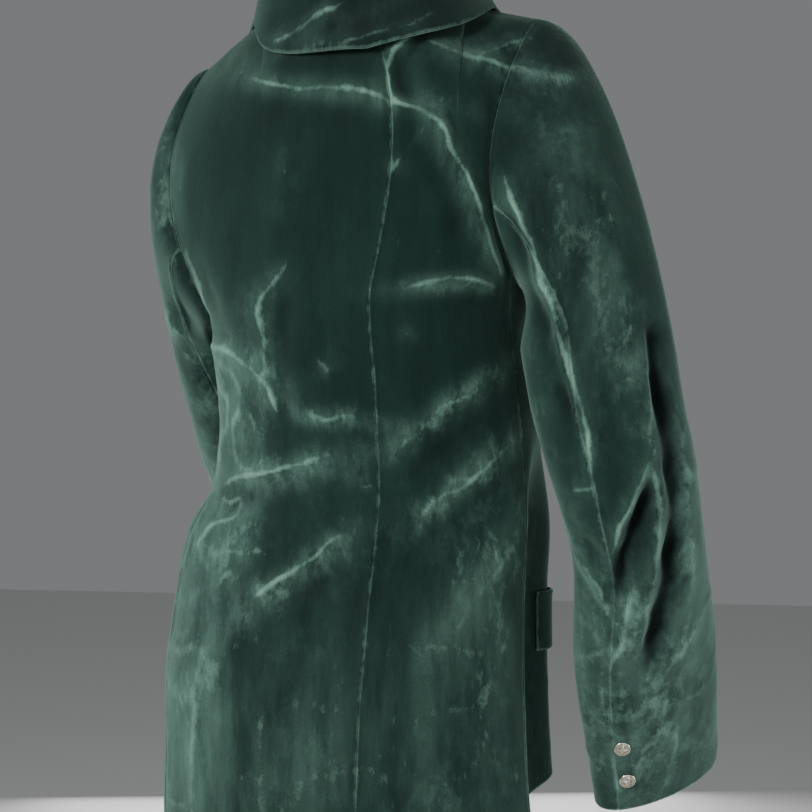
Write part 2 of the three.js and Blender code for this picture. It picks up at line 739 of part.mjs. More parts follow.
for (const [name, half] of Object.entries(HALF)) {
  const mirrored = half.side > 0;
  const back = cloth(backPanel(half), 12, 30, mirrored, RIMS.back(half));
  const side = cloth(sidePanel(half), 8, 18, mirrored, RIMS.side(half));
  const front = cloth(frontPanel(half), 12, 30, mirrored, RIMS.front(half));
  add(`back_${name}`, back, COLOURS.velvet);
  add(`side_${name}`, side, COLOURS.velvet);
  add(`front_${name}`, front, COLOURS.velvet);
  const upper = sleevePiece(name, true);
  const under = sleevePiece(name, false);
  add(`sleeve_upper_${name}`, cloth(upper.at, 19, 24, mirrored, upper.rim), COLOURS.velvet);
  add(`sleeve_under_${name}`, cloth(under.at, 13, 24, mirrored, under.rim), COLOURS.velvet);
  CUFF_BUTTON.rows.forEach((row, k) => {
    const facing = fromInside(sleeve(name), CUFF_BUTTON.place, row);
    const geometry = sewOn(CUFF_BUTTON, sleeve(name), CUFF_BUTTON.place, row, facing);
    add(`cuff_button_${k + 1}_${name}`, geometry, COLOURS.metal, 1, 0.4);
  });
  add(`lapel_${name}`, cloth(lapel(half), 6, 12, !mirrored), COLOURS.velvet);
  add(`hip_flap_${name}`, cloth(flap(half), 6, 3, mirrored), COLOURS.velvet);
}
const buttonLine = BREAK - FRONT_BUTTON.drop - FRONT_HEM;
const fastening = RISE * buttonLine / (HALF.right.top - FRONT_HEM);
const onFront = sewOn(FRONT_BUTTON, frontPanel(HALF.right), FRONT_BUTTON.in, fastening, V(0, -1, 0));
add('front_button', onFront, COLOURS.metal, 1, 0.4);
add('collar', cloth((u, v) => collarPoint(lerp(-2, 2, u), v), 32, 10, false), COLOURS.velvet);

export default group;
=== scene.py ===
"""A worn, dark green velvet blazer, dressed in Blender over its CAD frame. Metres, +Z up.

The cloth is worked out again here from the garment's own sizes, much finer than the solids,
and its creases are laid in as they are seen from behind the right shoulder.
"""
import math
import bpy
import numpy as np
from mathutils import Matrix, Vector


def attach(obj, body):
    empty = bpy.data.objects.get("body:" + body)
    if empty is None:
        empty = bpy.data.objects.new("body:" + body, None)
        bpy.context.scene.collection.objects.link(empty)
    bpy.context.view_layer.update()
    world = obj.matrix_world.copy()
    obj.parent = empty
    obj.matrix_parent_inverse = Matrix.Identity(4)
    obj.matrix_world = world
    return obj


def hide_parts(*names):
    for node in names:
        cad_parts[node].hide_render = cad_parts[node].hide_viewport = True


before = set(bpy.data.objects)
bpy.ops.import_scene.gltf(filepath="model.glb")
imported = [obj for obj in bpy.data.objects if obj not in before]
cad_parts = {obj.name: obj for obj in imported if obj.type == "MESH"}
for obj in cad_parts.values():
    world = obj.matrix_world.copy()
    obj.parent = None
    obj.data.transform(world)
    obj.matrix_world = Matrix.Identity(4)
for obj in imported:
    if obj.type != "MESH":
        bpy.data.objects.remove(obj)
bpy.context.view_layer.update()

MM = 0.001
PI = math.pi
RAD = PI / 180


def table(columns, rows):
    """The rows of a table, each with its columns' names."""
    return [dict(zip(columns.split(), row)) for row in rows]


def crease_table(rows):
    return table("name high near far rub path", rows)


def direction(azimuth, elevation):
    """From the garment towards a camera or a lamp."""
    a, e = azimuth * RAD, elevation * RAD
    return Vector((math.sin(a) * math.cos(e), -math.cos(a) * math.cos(e), math.sin(e)))


def new_object(name, points, faces, smooth=True):
    mesh = bpy.data.meshes.new(name)
    mesh.from_pydata(points, [], faces)
    mesh.polygons.foreach_set("use_smooth", np.full(len(mesh.polygons), smooth))
    return link(name, mesh)


def link(name, data):
    made = bpy.data.objects.new(name, data)
    bpy.context.scene.collection.objects.link(made)
    return made


# ---------------------------------------------------------------- camera
# Behind the right shoulder, nearly level. The focal length is in pixels of the square frame.
AZIMUTH, ELEVATION, DISTANCE = 188.0, 2.0, 1.5
TARGET = Vector((-0.0267, 0.0, -0.324))
FRAME_PX, FOCAL_PX, SENSOR = 812, 1724, 36.0


def camera_axes():
    back = direction(AZIMUTH, ELEVATION)
    right = Vector((math.cos(AZIMUTH * RAD), math.sin(AZIMUTH * RAD), 0))
    return back, right, back.cross(right)


def turn_to(made, back):
    """Stands back from the target and looks at it."""
    made.location = TARGET + back
    made.rotation_mode = "QUATERNION"
    made.rotation_quaternion = back.to_track_quat("Z", "Y")


def make_camera():
    data = bpy.data.cameras.new("camera")
    data.lens = SENSOR * FOCAL_PX / FRAME_PX
    data.sensor_width = SENSOR
    camera = link("camera", data)
    turn_to(camera, camera_axes()[0] * DISTANCE)
    bpy.context.scene.camera = camera


def seen_at(points):
    """Where points, in millimetres, lie in the camera's picture, in its pixels."""
    back, right, up = (np.array(axis) for axis in camera_axes())
    off = points * MM - (np.array(TARGET) + back * DISTANCE)
    depth = -(off @ back)
    half = FRAME_PX / 2
    return np.stack([half + FOCAL_PX * (off @ right) / depth,
                     half - FOCAL_PX * (off @ up) / depth], axis=-1)


# ---------------------------------------------------------------- the garment's sizes, mm
HEM, FRONT_HEM = -685.0, -650.0
RISE, NAPE_TOP, ROUNDNESS = 0.6, -228.0, 0.93
CLOTH = 1.6
NECK_SHARE, CAP_SHARE, GORGE, BREAK, PEEL = 0.42, 0.36, 0.79, -335.0, 2.6
NAPE = np.array([-6.0, 60.0, 0.0])

TRUNK = table("z left right back front seam edge_left edge_right", [
    (-685, 188.5, 158, 112, 122, 1, 62, 66),
    (-630, 187, 153, 112, 119, -1, 54, 58),
    (-560, 186, 150, 110, 116, -4, 48, 52),
    (-490, 177.5, 149, 103, 112, -9, 42, 46),
    (-430, 164, 151, 92, 110, -14, 36, 40),
    (-392, 143, 149, 87, 109, -16, 32, 35),
    (-345, 137, 143, 90, 109, -15, 26, 29),
    (-300, 140, 139, 97, 111, -14, 31, 33),
    (-255, 144, 133, 103, 111, -11, 38, 39),
    (-205, 152, 136, 107, 109, -11, 46, 46),
])

HALF = {
    "left": dict(
        side=1, top=-245.0, back_seam=72, front_seam=112, slack=16, full=50, tuck=0, pull=24,
        neck=(92, 2, 17), tip=(150, -14, -27),
        armhole=[("upper back", (176, 16, -98)), ("mid back", (172, 30, -168)),
                 ("underarm", (139, -6, -253)), ("mid front", (140, -66, -180)),
                 ("upper front", (146, -48, -92))]),
    "right": dict(
        side=-1, top=-212.0, back_seam=64, front_seam=112, slack=10, full=55, tuck=0.6, pull=12,
        neck=(-80, 2, 20), tip=(-142, 8, 5),
        armhole=[("upper back", (-116, 58, -58)), ("mid back", (-106, 76, -135)),
                 ("underarm", (-132, 10, -226)), ("mid front", (-140, -50, -150)),
                 ("upper front", (-146, -32, -58))]),
}

ARM = {
    "left": table("along x y z wide deep turn", [
        (0, 161, -80, -292, 33, 58, 0),
        (0.2, 151, -108, -344, 36, 54, 4),
        (0.38, 142, -146, -386, 41, 50, 8),
        (0.55, 130, -204, -410, 46, 45, 12),
        (0.78, 113, -278, -428, 47, 38, 16),
        (1, 98, -348, -444, 48, 33, 20),
    ]),
    "right": table("along x y z wide deep turn", [
        (0, -193, 72, -266, 62, 46, 0),
        (0.18, -203, 74, -322, 61, 47, 2),
        (0.36, -218, 72, -384, 57, 48, 8),
        (0.55, -229, 50, -446, 55, 45, 18),
        (0.78, -234, 8, -540, 63, 38, 28),
        (1, -244, -46, -653, 63, 29, 38),
    ]),
}


# ---------------------------------------------------------------- small maths on arrays
def lerp(a, b, t):
    return a + (b - a) * t


def ease(t):
    t = np.clip(t, 0, 1)
    return t * t * (3 - 2 * t)


def unit(v):
    return v / np.maximum(np.linalg.norm(v, axis=-1, keepdims=True), 1e-9)


def floats(*values):
    return np.broadcast_arrays(*(np.asarray(value, float) for value in values))


def vec(x, y, z):
    return np.stack(np.broadcast_arrays(x, y, z), axis=-1).astype(float)


def col(t):
    return np.asarray(t, float)[..., None]


def reader(rows, key, name):
    """Smooth value of one column of a table against another that rises from row to row."""
    at = np.array([row[key] for row in rows], float)
    value = np.array([row[name] for row in rows], float)
    last = len(rows) - 1
    before = np.maximum(np.arange(last + 1) - 1, 0)
    after = np.minimum(np.arange(last + 1) + 1, last)
    slope = (value[after] - value[before]) / (at[after] - at[before])

    def read(x):
        x = np.asarray(x, float)
        i = np.searchsorted(at[1:-1], x, side="left")
        span = at[i + 1] - at[i]
        t = np.clip((x - at[i]) / span, 0, 1)
        bend = (t ** 3 - 2 * t ** 2 + t) * slope[i] + (t ** 3 - t ** 2) * slope[i + 1]
        return lerp(value[i], value[i + 1], ease(t)) + span * bend
    return read


def readers(rows, key):
    return {name: reader(rows, key, name) for name in rows[0] if name != key}


def bezier(a, b, c, d, t):
    t = col(t)
    s = 1 - t
    return a * s ** 3 + b * 3 * s * s * t + c * 3 * s * t * t + d * t ** 3


def closed_curve(points):
    """Centripetal Catmull-Rom loop through points, read from 0 to 1."""
    points = np.array(points, float)
    n = len(points)
    prev, here, nxt, far = (np.roll(points, 1 - k, axis=0) for k in range(4))
    step = [np.maximum(np.linalg.norm(b - a, axis=1) ** 0.5, 1e-4)[:, None]
            for a, b in ((prev, here), (here, nxt), (nxt, far))]
    out = ((here - prev) / step[0] - (nxt - prev) / (step[0] + step[1])
           + (nxt - here) / step[1]) * step[1]
    into = ((nxt - here) / step[1] - (far - here) / (step[1] + step[2])
            + (far - nxt) / step[2]) * step[1]
    cube = 2 * here - 2 * nxt + out + into
    square = -3 * here + 3 * nxt - 2 * out - into

    def at(t):
        place = (np.asarray(t, float) % 1) * n
        i = np.minimum(place.astype(int), n - 1)
        w = col(place - i)
        return here[i] + out[i] * w + square[i] * w ** 2 + cube[i] * w ** 3
    return at


def square_to(at, u, v, facing):
    """Direction square to a surface, on the side that faces a given way."""
    step = 0.01
    du = at(u + step, v) - at(u - step, v)
    dv = at(u, v + step) - at(u, v - step)
    normal = unit(np.cross(du, dv))
    return np.where(np.sum(normal * facing, axis=-1, keepdims=True) < 0, -normal, normal)


SEED_STEP, HASH, HASH_MIX = 7.31, np.array([73856093, 19349663, 83492791]), 1274126177
LOW_WORD, ALL_WORDS = 0xFFFF, 0xFFFFFFFF


def noise(points, size, seed):
    """Smooth noise from -1 to 1, with features of a given size."""
    q = points / size + seed * SEED_STEP
    cell = np.floor(q).astype(np.int64)
    f = ease(q - cell)
    total = np.zeros(points.shape[:-1])
    for corner in np.ndindex(2, 2, 2):
        c = np.array(corner)
        n = (cell + c) @ HASH
        n = (n ^ (n >> 13)) * HASH_MIX & ALL_WORDS
        n = (n ^ (n >> 15)) & LOW_WORD
        total += np.prod(np.where(c, f, 1 - f), axis=-1) * (n / (LOW_WORD / 2) - 1)
    return total


# ---------------------------------------------------------------- the garment's surfaces
TRUNK_AT = readers(TRUNK, "z")
# The hollow down the right side of the skirt and the swell in front of it: angles and widths
# in degrees, the rest in millimetres.
HOLLOW = dict(at=-86, wide=15, deep=27, start=-330, fade=110)
SWELL = dict(at=-106, wide=12, high=9.5)


def trunk(angle, z):
    """One rounded section at each height; angle 0 is the centre back."""
    angle, z = floats(angle, z)
    half = np.where(angle > 0, TRUNK_AT["left"](z), TRUNK_AT["right"](z))
    deep = np.where(np.cos(angle) > 0, TRUNK_AT["back"](z), TRUNK_AT["front"](z))
    fade = ease((HOLLOW["start"] - z) / HOLLOW["fade"])
    away = (angle / RAD - HOLLOW["at"]) / HOLLOW["wide"]
    swell = (angle / RAD - SWELL["at"]) / SWELL["wide"]
    groove = fade * (HOLLOW["deep"] * np.exp(-away ** 2) - SWELL["high"] * np.exp(-swell ** 2))
    s, c = np.sin(angle), np.cos(angle)
    return vec(np.sign(angle) * (half - groove) * np.abs(s) ** ROUNDNESS,
               np.sign(c) * deep * np.abs(c) ** ROUNDNESS, z)


def angle_at(x, z, front):
    """The angle at which the section at a height is a given distance from the centre line."""
    half = np.where(x > 0, TRUNK_AT["left"](z), TRUNK_AT["right"](z))
    angle = np.arcsin(np.clip((np.abs(x) / half) ** (1 / ROUNDNESS), 0, 1))
    return np.sign(x) * (PI - angle if front else angle)


def seam_angle(z):
    return angle_at(TRUNK_AT["seam"](z), z, False)


def edge_angle(side, z):
    x = TRUNK_AT["edge_left"](z) if side > 0 else -TRUNK_AT["edge_right"](z)
    return angle_at(x, z, True)


# The armhole is read in eighths, from the shoulder point down the back, under the arm and up
# the front. The seams of the side panel meet it at `back` and `front`.
PLACE = dict(back=3, front=5, round=8)
for half in HALF.values():
    spots = dict(half["armhole"])
    seams = [trunk(half["side"] * half[key] * RAD, half["top"]) for key in ("back_seam", "front_seam")]
    half["loop"] = closed_curve([half["tip"], spots["upper back"], spots["mid back"], seams[0],
                                 spots["underarm"], seams[1], spots["mid front"],
                                 spots["upper front"]])


def armhole(half, place):
    return half["loop"](np.asarray(place, float) / PLACE["round"])


# How far a column keeps its first direction, and the step that this is read over.
COLUMN_PULL, COLUMN_STEP = 0.42, 12
# How a back column leaves its head: out to the fullness of the shoulder blades, and down.
BLADES = dict(centre=87, side=54, fall=1.3)
DROP = dict(nape=54, neck=34, tip=20)
# How soon a panel turns to its armhole, and how far the centre back bows.
EDGE_PULL, BEND = 2.2, 20


def column(angle, z, head, leaving, t):
    """A line up a panel: out of the trunk's section and over the shoulder to its head."""
    foot = trunk(angle, z)
    up = unit(foot - trunk(angle, z - COLUMN_STEP))
    near = foot + up * COLUMN_PULL * col(head[..., 2] - z)
    return bezier(foot, near, head + leaving, head, t)


def back_head(half, u):
    neck, tip = np.array(half["neck"], float), np.array(half["tip"], float)
    share = u / NECK_SHARE
    turn = share * PI / 2
    round_neck = vec(lerp(NAPE[0], neck[0], np.sin(turn)),
                     lerp(neck[1], NAPE[1], np.cos(turn)), lerp(NAPE[2], neck[2], share))
    along = neck + (tip - neck) * col((u - NECK_SHARE) / (1 - NECK_SHARE))
    return np.where(col(u) < NECK_SHARE, round_neck, along)


def back_leaving(u, head):
    fullness = lerp(BLADES["centre"], BLADES["side"], np.clip(u, 0, 1) ** BLADES["fall"])
    drop = np.where(u < NECK_SHARE, lerp(DROP["nape"], DROP["neck"], u / NECK_SHARE),
                    lerp(DROP["neck"], DROP["tip"], (u - NECK_SHARE) / (1 - NECK_SHARE)))
    return vec(0, fullness - head[..., 1], -drop)


def back_panel(half):
    side, top = half["side"], half["top"]
    seam = side * half["back_seam"] * RAD

    def at(u, v):
        u, v = floats(u, v)
        foot = lerp(NAPE_TOP, top, np.clip(u, 0, 1))
        low_z = lerp(HEM, foot, v / RISE)
        low = trunk(lerp(seam_angle(low_z), seam, u), low_z)
        t = np.maximum((v - RISE) / (1 - RISE), 0)
        head = back_head(half, u)
        high = column(lerp(seam_angle(foot), seam, u), foot, head, back_leaving(u, head), t)
        high[..., 0] -= BEND * np.sin(PI * t) * (1 - u) ** 2
        one = np.ones_like(u)
        tip = back_head(half, one)
        edge = column(seam * one, top * one, tip, back_leaving(one, tip), t)
        off = armhole(half, PLACE["back"] * (1 - t)) - edge
        high += off * col(np.maximum(u, 0) ** EDGE_PULL)
        return np.where(col(v) < RISE, low, high)
    return at


# How far up a side panel begins to turn to the armhole.
SIDE_TURN = 0.7


def side_panel(half):
    def at(u, v):
        edge = armhole(half, lerp(PLACE["back"], PLACE["front"], u))
        angle = half["side"] * lerp(half["back_seam"], half["front_seam"], u) * RAD
        z = lerp(lerp(HEM, FRONT_HEM, ease(u)), edge[..., 2], v)
        off = edge - trunk(angle, edge[..., 2])
        return trunk(angle, z) + off * col(ease((v - SIDE_TURN) / (1 - SIDE_TURN)))
    return at


# How the front leaves the shoulder seam, from the armhole to the neck.
CHEST = dict(out=(-48, -42), drop=(-19, -31))


def front_panel(half):
    side, top = half["side"], half["top"]
    seam = side * half["front_seam"] * RAD
    neck, tip = np.array(half["neck"], float), np.array(half["tip"], float)

    def at(u, v):
        u, v = floats(u, v)
        low_z = lerp(FRONT_HEM, top, v / RISE)
        low = trunk(lerp(seam, edge_angle(side, low_z), u), low_z)
        t = np.maximum((v - RISE) / (1 - RISE), 0)
        down = vec(0, lerp(*CHEST["out"], u), lerp(*CHEST["drop"], u))
        end = edge_angle(side, np.array(top))

        def strip(share):
            head = tip + (neck - tip) * col(share)
            return column(lerp(seam, end, share), np.full_like(share, top), head, down, t)
        edge = armhole(half, lerp(PLACE["front"], PLACE["round"], t))
        share = np.maximum(1 - u, 0) ** EDGE_PULL
        high = strip(u) + (edge - strip(np.zeros_like(u))) * col(share)
        return np.where(col(v) < RISE, low, high)
    return at


# The step along an arm that its direction is read over, and how a cap leaves the armhole.
ARM_STEP = 0.02
CAP = dict(rear=0.35, rise=0.1, dip=0.5, pull=44)


def arm_tube(name):
    """The arm's own tube: at each share of its length, `turn` 0 outside and PI / 2 behind."""
    row = readers(ARM[name], "along")
    side = HALF[name]["side"]

    def centre(t):
        return vec(row["x"](t), row["y"](t), row["z"](t))

    def at(turn, t):
        down = unit(centre(np.minimum(t + ARM_STEP, 1)) - centre(np.maximum(t - ARM_STEP, 0)))
        yaw = row["turn"](t) * RAD
        out = vec(side * np.cos(yaw), -np.sin(yaw), 0)
        out = unit(out - down * np.sum(out * down, axis=-1, keepdims=True))
        rear = np.cross(down, out) * -side
        point = (centre(t) + out * col(row["wide"](t) * np.cos(turn))
                 + rear * col(row["deep"](t) * np.sin(turn)))
        return point, down
    return at


def sleeve(name):
    """`place` counts the armhole's points: 0 on top, 2 behind, 4 under the arm, 6 in front."""
    half = HALF[name]
    tube = arm_tube(name)

    def at(place, t):
        place, t = floats(place, t)
        turn = place / PLACE["round"] * 2 * PI
        lower = tube(turn, np.clip((t - CAP_SHARE) / (1 - CAP_SHARE), 0, 1))[0]
        head = armhole(half, place)
        point, down = tube(turn, np.zeros_like(t))
        over = (1 + np.cos(turn)) / 2
        outwards = half["side"] * (1 - half["tuck"] * np.maximum(np.sin(turn), 0))
        rise = CAP["rise"] - CAP["dip"] * (1 - over)
        spread = unit(vec(outwards, CAP["rear"] * np.sin(turn), rise))
        start = head + spread * col(lerp(half["slack"], half["full"], over))
        end = point - down * col(lerp(half["pull"], CAP["pull"], over))
        cap = bezier(head, start, end, point, np.minimum(t / CAP_SHARE, 1))
        return np.where(col(t) > CAP_SHARE, lower, cap)
    return at


# Places of the sleeve's seams round it: the hind one winds inwards on its way down.
HIND, WIND, BOW, FORE = 2.25, 1.0, 1.6, 5.5


def sleeve_panel(name, upper):
    at = sleeve(name)

    def piece(u, v):
        seam = HIND + WIND * np.clip(v, 0, 1) ** BOW
        place = lerp(FORE - PLACE["round"], seam, u) if upper else lerp(seam, FORE, u)
        return at(place, v)
    return piece


COLLAR = table("place stand fall_left fall_right steep_left steep_right", [
    (0, 40, 67, 67, 77, 77),
    (0.5, 38, 70, 56, 80, 70),
    (1, 32, 36, 36, 78, 60),
    (1.5, 15, 40, 40, 28, 22),
    (2, 5, 40, 40, 0, 0),
])
COLLAR_AT = readers(COLLAR, "place")
# The stand and the roll, as shares of the collar's width and in millimetres.
STAND_SHARE, ROLL_SHARE, ROLL, ROLL_OF_STAND, FOOT_LIFT = 0.26, 0.3, 4.0, 0.6, 1.7
# The stand's own direction, how soon past the neck the collar turns onto the front, and its
# least height over it.
STAND_UP, COLLAR_TURN, COLLAR_CLEAR = (0, -0.12, 0.99), 1.6, 0.6
FORWARDS, FORWARDS_UP = np.array([0, -1, 0]), np.array([0, -1, 0.3])


def row_length(front, v):
    """Length of a front's row at a height, which is twice its outer half."""
    one = np.ones_like(v)
    return 2 * np.linalg.norm(front(one, v) - front(one * 0.5, v), axis=-1)


def collar_side(name):
    """One half of the collar: `place` from the nape round to the gorge, `p` up and over."""
    half = HALF[name]
    side = half["side"]
    front = front_panel(half)

    def at(place, p):
        place, p = floats(place, p)
        low = np.clip(place, 0, 1)
        t = np.clip(place - 1, 0, 1)
        v = lerp(1, GORGE, t)
        one = np.ones_like(t)
        normal = square_to(front, one, v, FORWARDS_UP)
        foot = np.where(col(place) <= 1, back_head(half, low * NECK_SHARE),
                        front(one, v) + normal * PEEL * col(t))
        turn = low * PI / 2
        rise = unit(vec(*STAND_UP) * np.ones_like(foot))
        away = unit(vec(side * np.sin(turn), np.cos(turn), 0))
        over = unit(front(one * 0.9, v) - front(one, v))
        turned = col(ease(t * COLLAR_TURN))
        rise = np.where(col(place) <= 1, rise, unit(lerp(rise, normal, turned)))
        away = np.where(col(place) <= 1, away, unit(lerp(away, over, turned)))
        stand = COLLAR_AT["stand"](place)
        roll = np.minimum(ROLL, stand * ROLL_OF_STAND)
        steep = COLLAR_AT["steep_" + name](place) * RAD
        fall = COLLAR_AT["fall_" + name](place)
        bend = PI - np.clip((p - STAND_SHARE) / ROLL_SHARE, 0, 1) * (PI / 2 + steep)
        rolled = p > STAND_SHARE
        out = np.where(rolled, roll + roll * np.cos(bend), 0)
        up = np.where(rolled, stand - roll + roll * np.sin(bend),
                      lerp(FOOT_LIFT, stand - roll, np.minimum(p / STAND_SHARE, 1)))
        share = 1 - STAND_SHARE - ROLL_SHARE
        length = np.maximum(p - STAND_SHARE - ROLL_SHARE, 0) / share * fall
        free = (foot + away * col(out + length * np.cos(steep))
                + rise * col(up - length * np.sin(steep)))
        across = 1 - (out + length) / row_length(front, v)
        lay = square_to(front, across, v, FORWARDS_UP)
        laid = front(across, v) + lay * col(PEEL + np.maximum(up, CLOTH + COLLAR_CLEAR))
        return lerp(free, laid, turned)
    return at


def collar_panel():
    left, right = collar_side("left"), collar_side("right")

    def at(u, v):
        q = lerp(-2.0, 2.0, np.asarray(u, float))
        return np.where(col(q) > 0, left(np.abs(q), v), right(np.abs(q), v))
    return at


LAPEL = dict(wide=80, notch=0.012, notch_bow=5, bow=0.72, gap=0.006, belly=2.2, roll_out=1)


def lapel_panel(half):
    front = front_panel(half)
    low = RISE * (BREAK - FRONT_HEM) / (half["top"] - FRONT_HEM)

    def at(u, v):
        u, v = floats(u, v)
        up = np.clip(v, 0, 1)
        row = lerp(low, GORGE - LAPEL["gap"], v) - LAPEL["notch"] * u * up ** LAPEL["notch_bow"]
        out = LAPEL["wide"] * np.sin(up * PI / 2) ** LAPEL["bow"] * u + LAPEL["roll_out"]
        share = 1 - out / row_length(front, row)
        lift = PEEL + CLOTH + LAPEL["belly"] * np.sin(PI * np.clip(u, 0, 1)) * v
        return front(share, row) + square_to(front, share, row, FORWARDS) * col(lift)
    return at


FLAP = dict(top=-486, drop=52, start=97, end=137, lift=2.6)


def flap_panel(half):
    def flat(u, v):
        angle = half["side"] * lerp(FLAP["start"], FLAP["end"], u) * RAD
        return trunk(angle, FLAP["top"] - FLAP["drop"] * (1 - v))

    def at(u, v):
        u, v = floats(u, v)
        base = flat(u, v)
        away = base * np.array([1, 1, 0])
        return base + square_to(flat, u, v, away) * (FLAP["lift"] + CLOTH)
    return at


# ---------------------------------------------------------------- creases
# Each crease runs along `path`, in pixels of the camera's picture. `high` is its height in
# millimetres, negative for a trough, and `near` and `far` are how far it spreads, in
# millimetres, on the picture's left and right of a path that runs down it. The column after `far`
# is how pale its crest is painted, in a line CREST wide to each side: partly worn pile, partly a painted
# highlight where the pile glints.
PX = 0.87
CREST, HALO = 2.3, 11.0
BACK_CREASES = crease_table([
    ("blade", 6.5, 26, 5, 1, [(418, 30), (397, 50), (387, 72), (390, 92), (402, 105), (420, 109),
     (437, 122), (452, 152), (470, 190), (480, 215), (488, 245), (497, 268), (505, 290)]),
    ("blade pouch", 3, 16, 16, 0, [(425, 50), (440, 90), (468, 140), (484, 190), (492, 225)]),
    ("blade hollow", -3.5, 14, 14, 0, [(392, 118), (420, 132), (438, 165), (452, 205), (472, 240)]),
    ("upper roll", 3.2, 9, 15, 0.7, [(236, 78), (285, 86), (330, 90), (362, 92), (395, 103), (416, 108)]),
    ("under roll", -1.6, 14, 14, 0, [(250, 108), (300, 112), (350, 116), (385, 124)]),
    ("left princess", 0.9, 5, 4, 0.3, [(286, 128), (285, 175), (283, 232)]),
    ("short fold", 1.8, 4, 4, 0.4, [(418, 118), (421, 132), (422, 152)]),
    ("seam pull", 2, 5, 4, 0.5, [(405, 152), (397, 165), (391, 178)]),
    ("right shelf", 3.6, 10, 4.5, 1, [(398, 291), (416, 285), (432, 282), (450, 277), (468, 279),
     (484, 284), (506, 286)]),
    ("right shelf hollow", -2.2, 8, 8, 0, [(402, 302), (440, 294), (480, 298), (502, 300)]),
    ("right tick", 1.6, 4, 4, 0.4, [(394, 341), (408, 334), (422, 329)]),
    ("upper diagonal", 3.4, 9, 13, 0.5, [(384, 462), (412, 436), (444, 405), (478, 388), (512, 368)]),
    ("lower diagonal", 3.8, 8, 13, 0.7, [(410, 524), (440, 500), (466, 484), (488, 464), (506, 446),
     (522, 428)]),
    ("diagonal hollow", -2.4, 12, 12, 0, [(400, 478), (430, 458), (466, 430), (504, 404)]),
    ("low diagonal", 2.6, 11, 15, 0.3, [(436, 654), (462, 618), (490, 578), (518, 540)]),
    ("low right", 2, 10, 10, 0.2, [(470, 770), (484, 700), (504, 640), (520, 590)]),
    ("left ladder", 3.6, 10, 4, 0.8, [(293, 256), (281, 274), (264, 293), (259, 314), (265, 340),
     (267, 362), (269, 388)]),
    ("ladder hollow", -2.4, 9, 9, 0, [(300, 280), (284, 310), (282, 350), (286, 390)]),
    ("left shelf", 5, 11, 4.5, 1, [(186, 334), (204, 341), (230, 350), (252, 366), (268, 383), (275, 400),
     (278, 424)]),
    ("left shelf hollow", -3.4, 10, 10, 0, [(210, 372), (232, 384), (248, 404), (256, 430)]),
    ("left pleat one", 3.4, 6, 7, 0.85, [(210, 350), (217, 376), (229, 402), (228, 426), (221, 448),
     (219, 476)]),
    ("left pleat two", 2.6, 5, 6, 0.6, [(218, 354), (235, 382), (240, 408), (233, 436)]),
    ("left pleat hollow", -2.6, 7, 7, 0, [(216, 378), (222, 402), (220, 432), (216, 452)]),
    ("third pleat", 1.8, 6, 6, 0.45, [(246, 398), (254, 424), (268, 446)]),
    ("armhole line", 1.6, 5, 4, 0.9, [(180, 236), (199, 288), (209, 318), (214, 340)]),
    ("tick one", 1.8, 4, 5, 0.5, [(312, 354), (324, 364), (336, 378)]),
    ("tick two", 2.4, 6, 6, 0.8, [(304, 410), (318, 416), (331, 420), (347, 416), (366, 424)]),
    ("seam tick", 1.4, 4, 4, 0.5, [(358, 490), (366, 486), (377, 481)]),
    ("waist", 5.2, 6, 12, 1, [(208, 492), (230, 482), (262, 474), (296, 466), (332, 453)]),
    ("waist hollow", -4, 9, 9, 0, [(212, 503), (240, 500), (276, 492), (310, 482)]),
    ("waist knot", 4.2, 6, 6, 1, [(217, 486), (228, 502), (239, 499), (235, 515), (214, 526), (201, 544),
     (205, 566)]),
    ("side fold", 2.8, 5, 8, 0.7, [(218, 548), (240, 553), (262, 551), (274, 566)]),
    ("crescent", 2.8, 6, 5, 0.8, [(214, 596), (219, 586), (226, 577), (234, 570)]),
    ("hip diagonal", 4.4, 6, 13, 1, [(246, 604), (268, 588), (292, 574), (314, 556), (332, 541),
     (348, 530)]),
    ("hip hollow", -3, 11, 11, 0, [(262, 612), (296, 596), (326, 576), (348, 556)]),
    ("left hip long", 2.4, 12, 12, 0.3, [(196, 800), (194, 740), (198, 680), (210, 630)]),
    ("left hip second", 1.8, 12, 12, 0.2, [(246, 806), (240, 750), (244, 700), (256, 654)]),
    ("seam hollow", -1.6, 16, 10, 0, [(352, 700), (360, 640), (368, 580), (374, 520)]),
    ("shoulder long", 2.6, 7, 5, 0.9, [(416, 33), (436, 44), (462, 55), (492, 64), (520, 71), (548, 76)]),
    ("shoulder short", 2.2, 6, 5, 0.7, [(470, 62), (492, 52), (516, 42), (536, 33)]),
    ("left shoulder", 2.2, 12, 12, 0.2, [(222, 70), (240, 60), (262, 56)]),
])

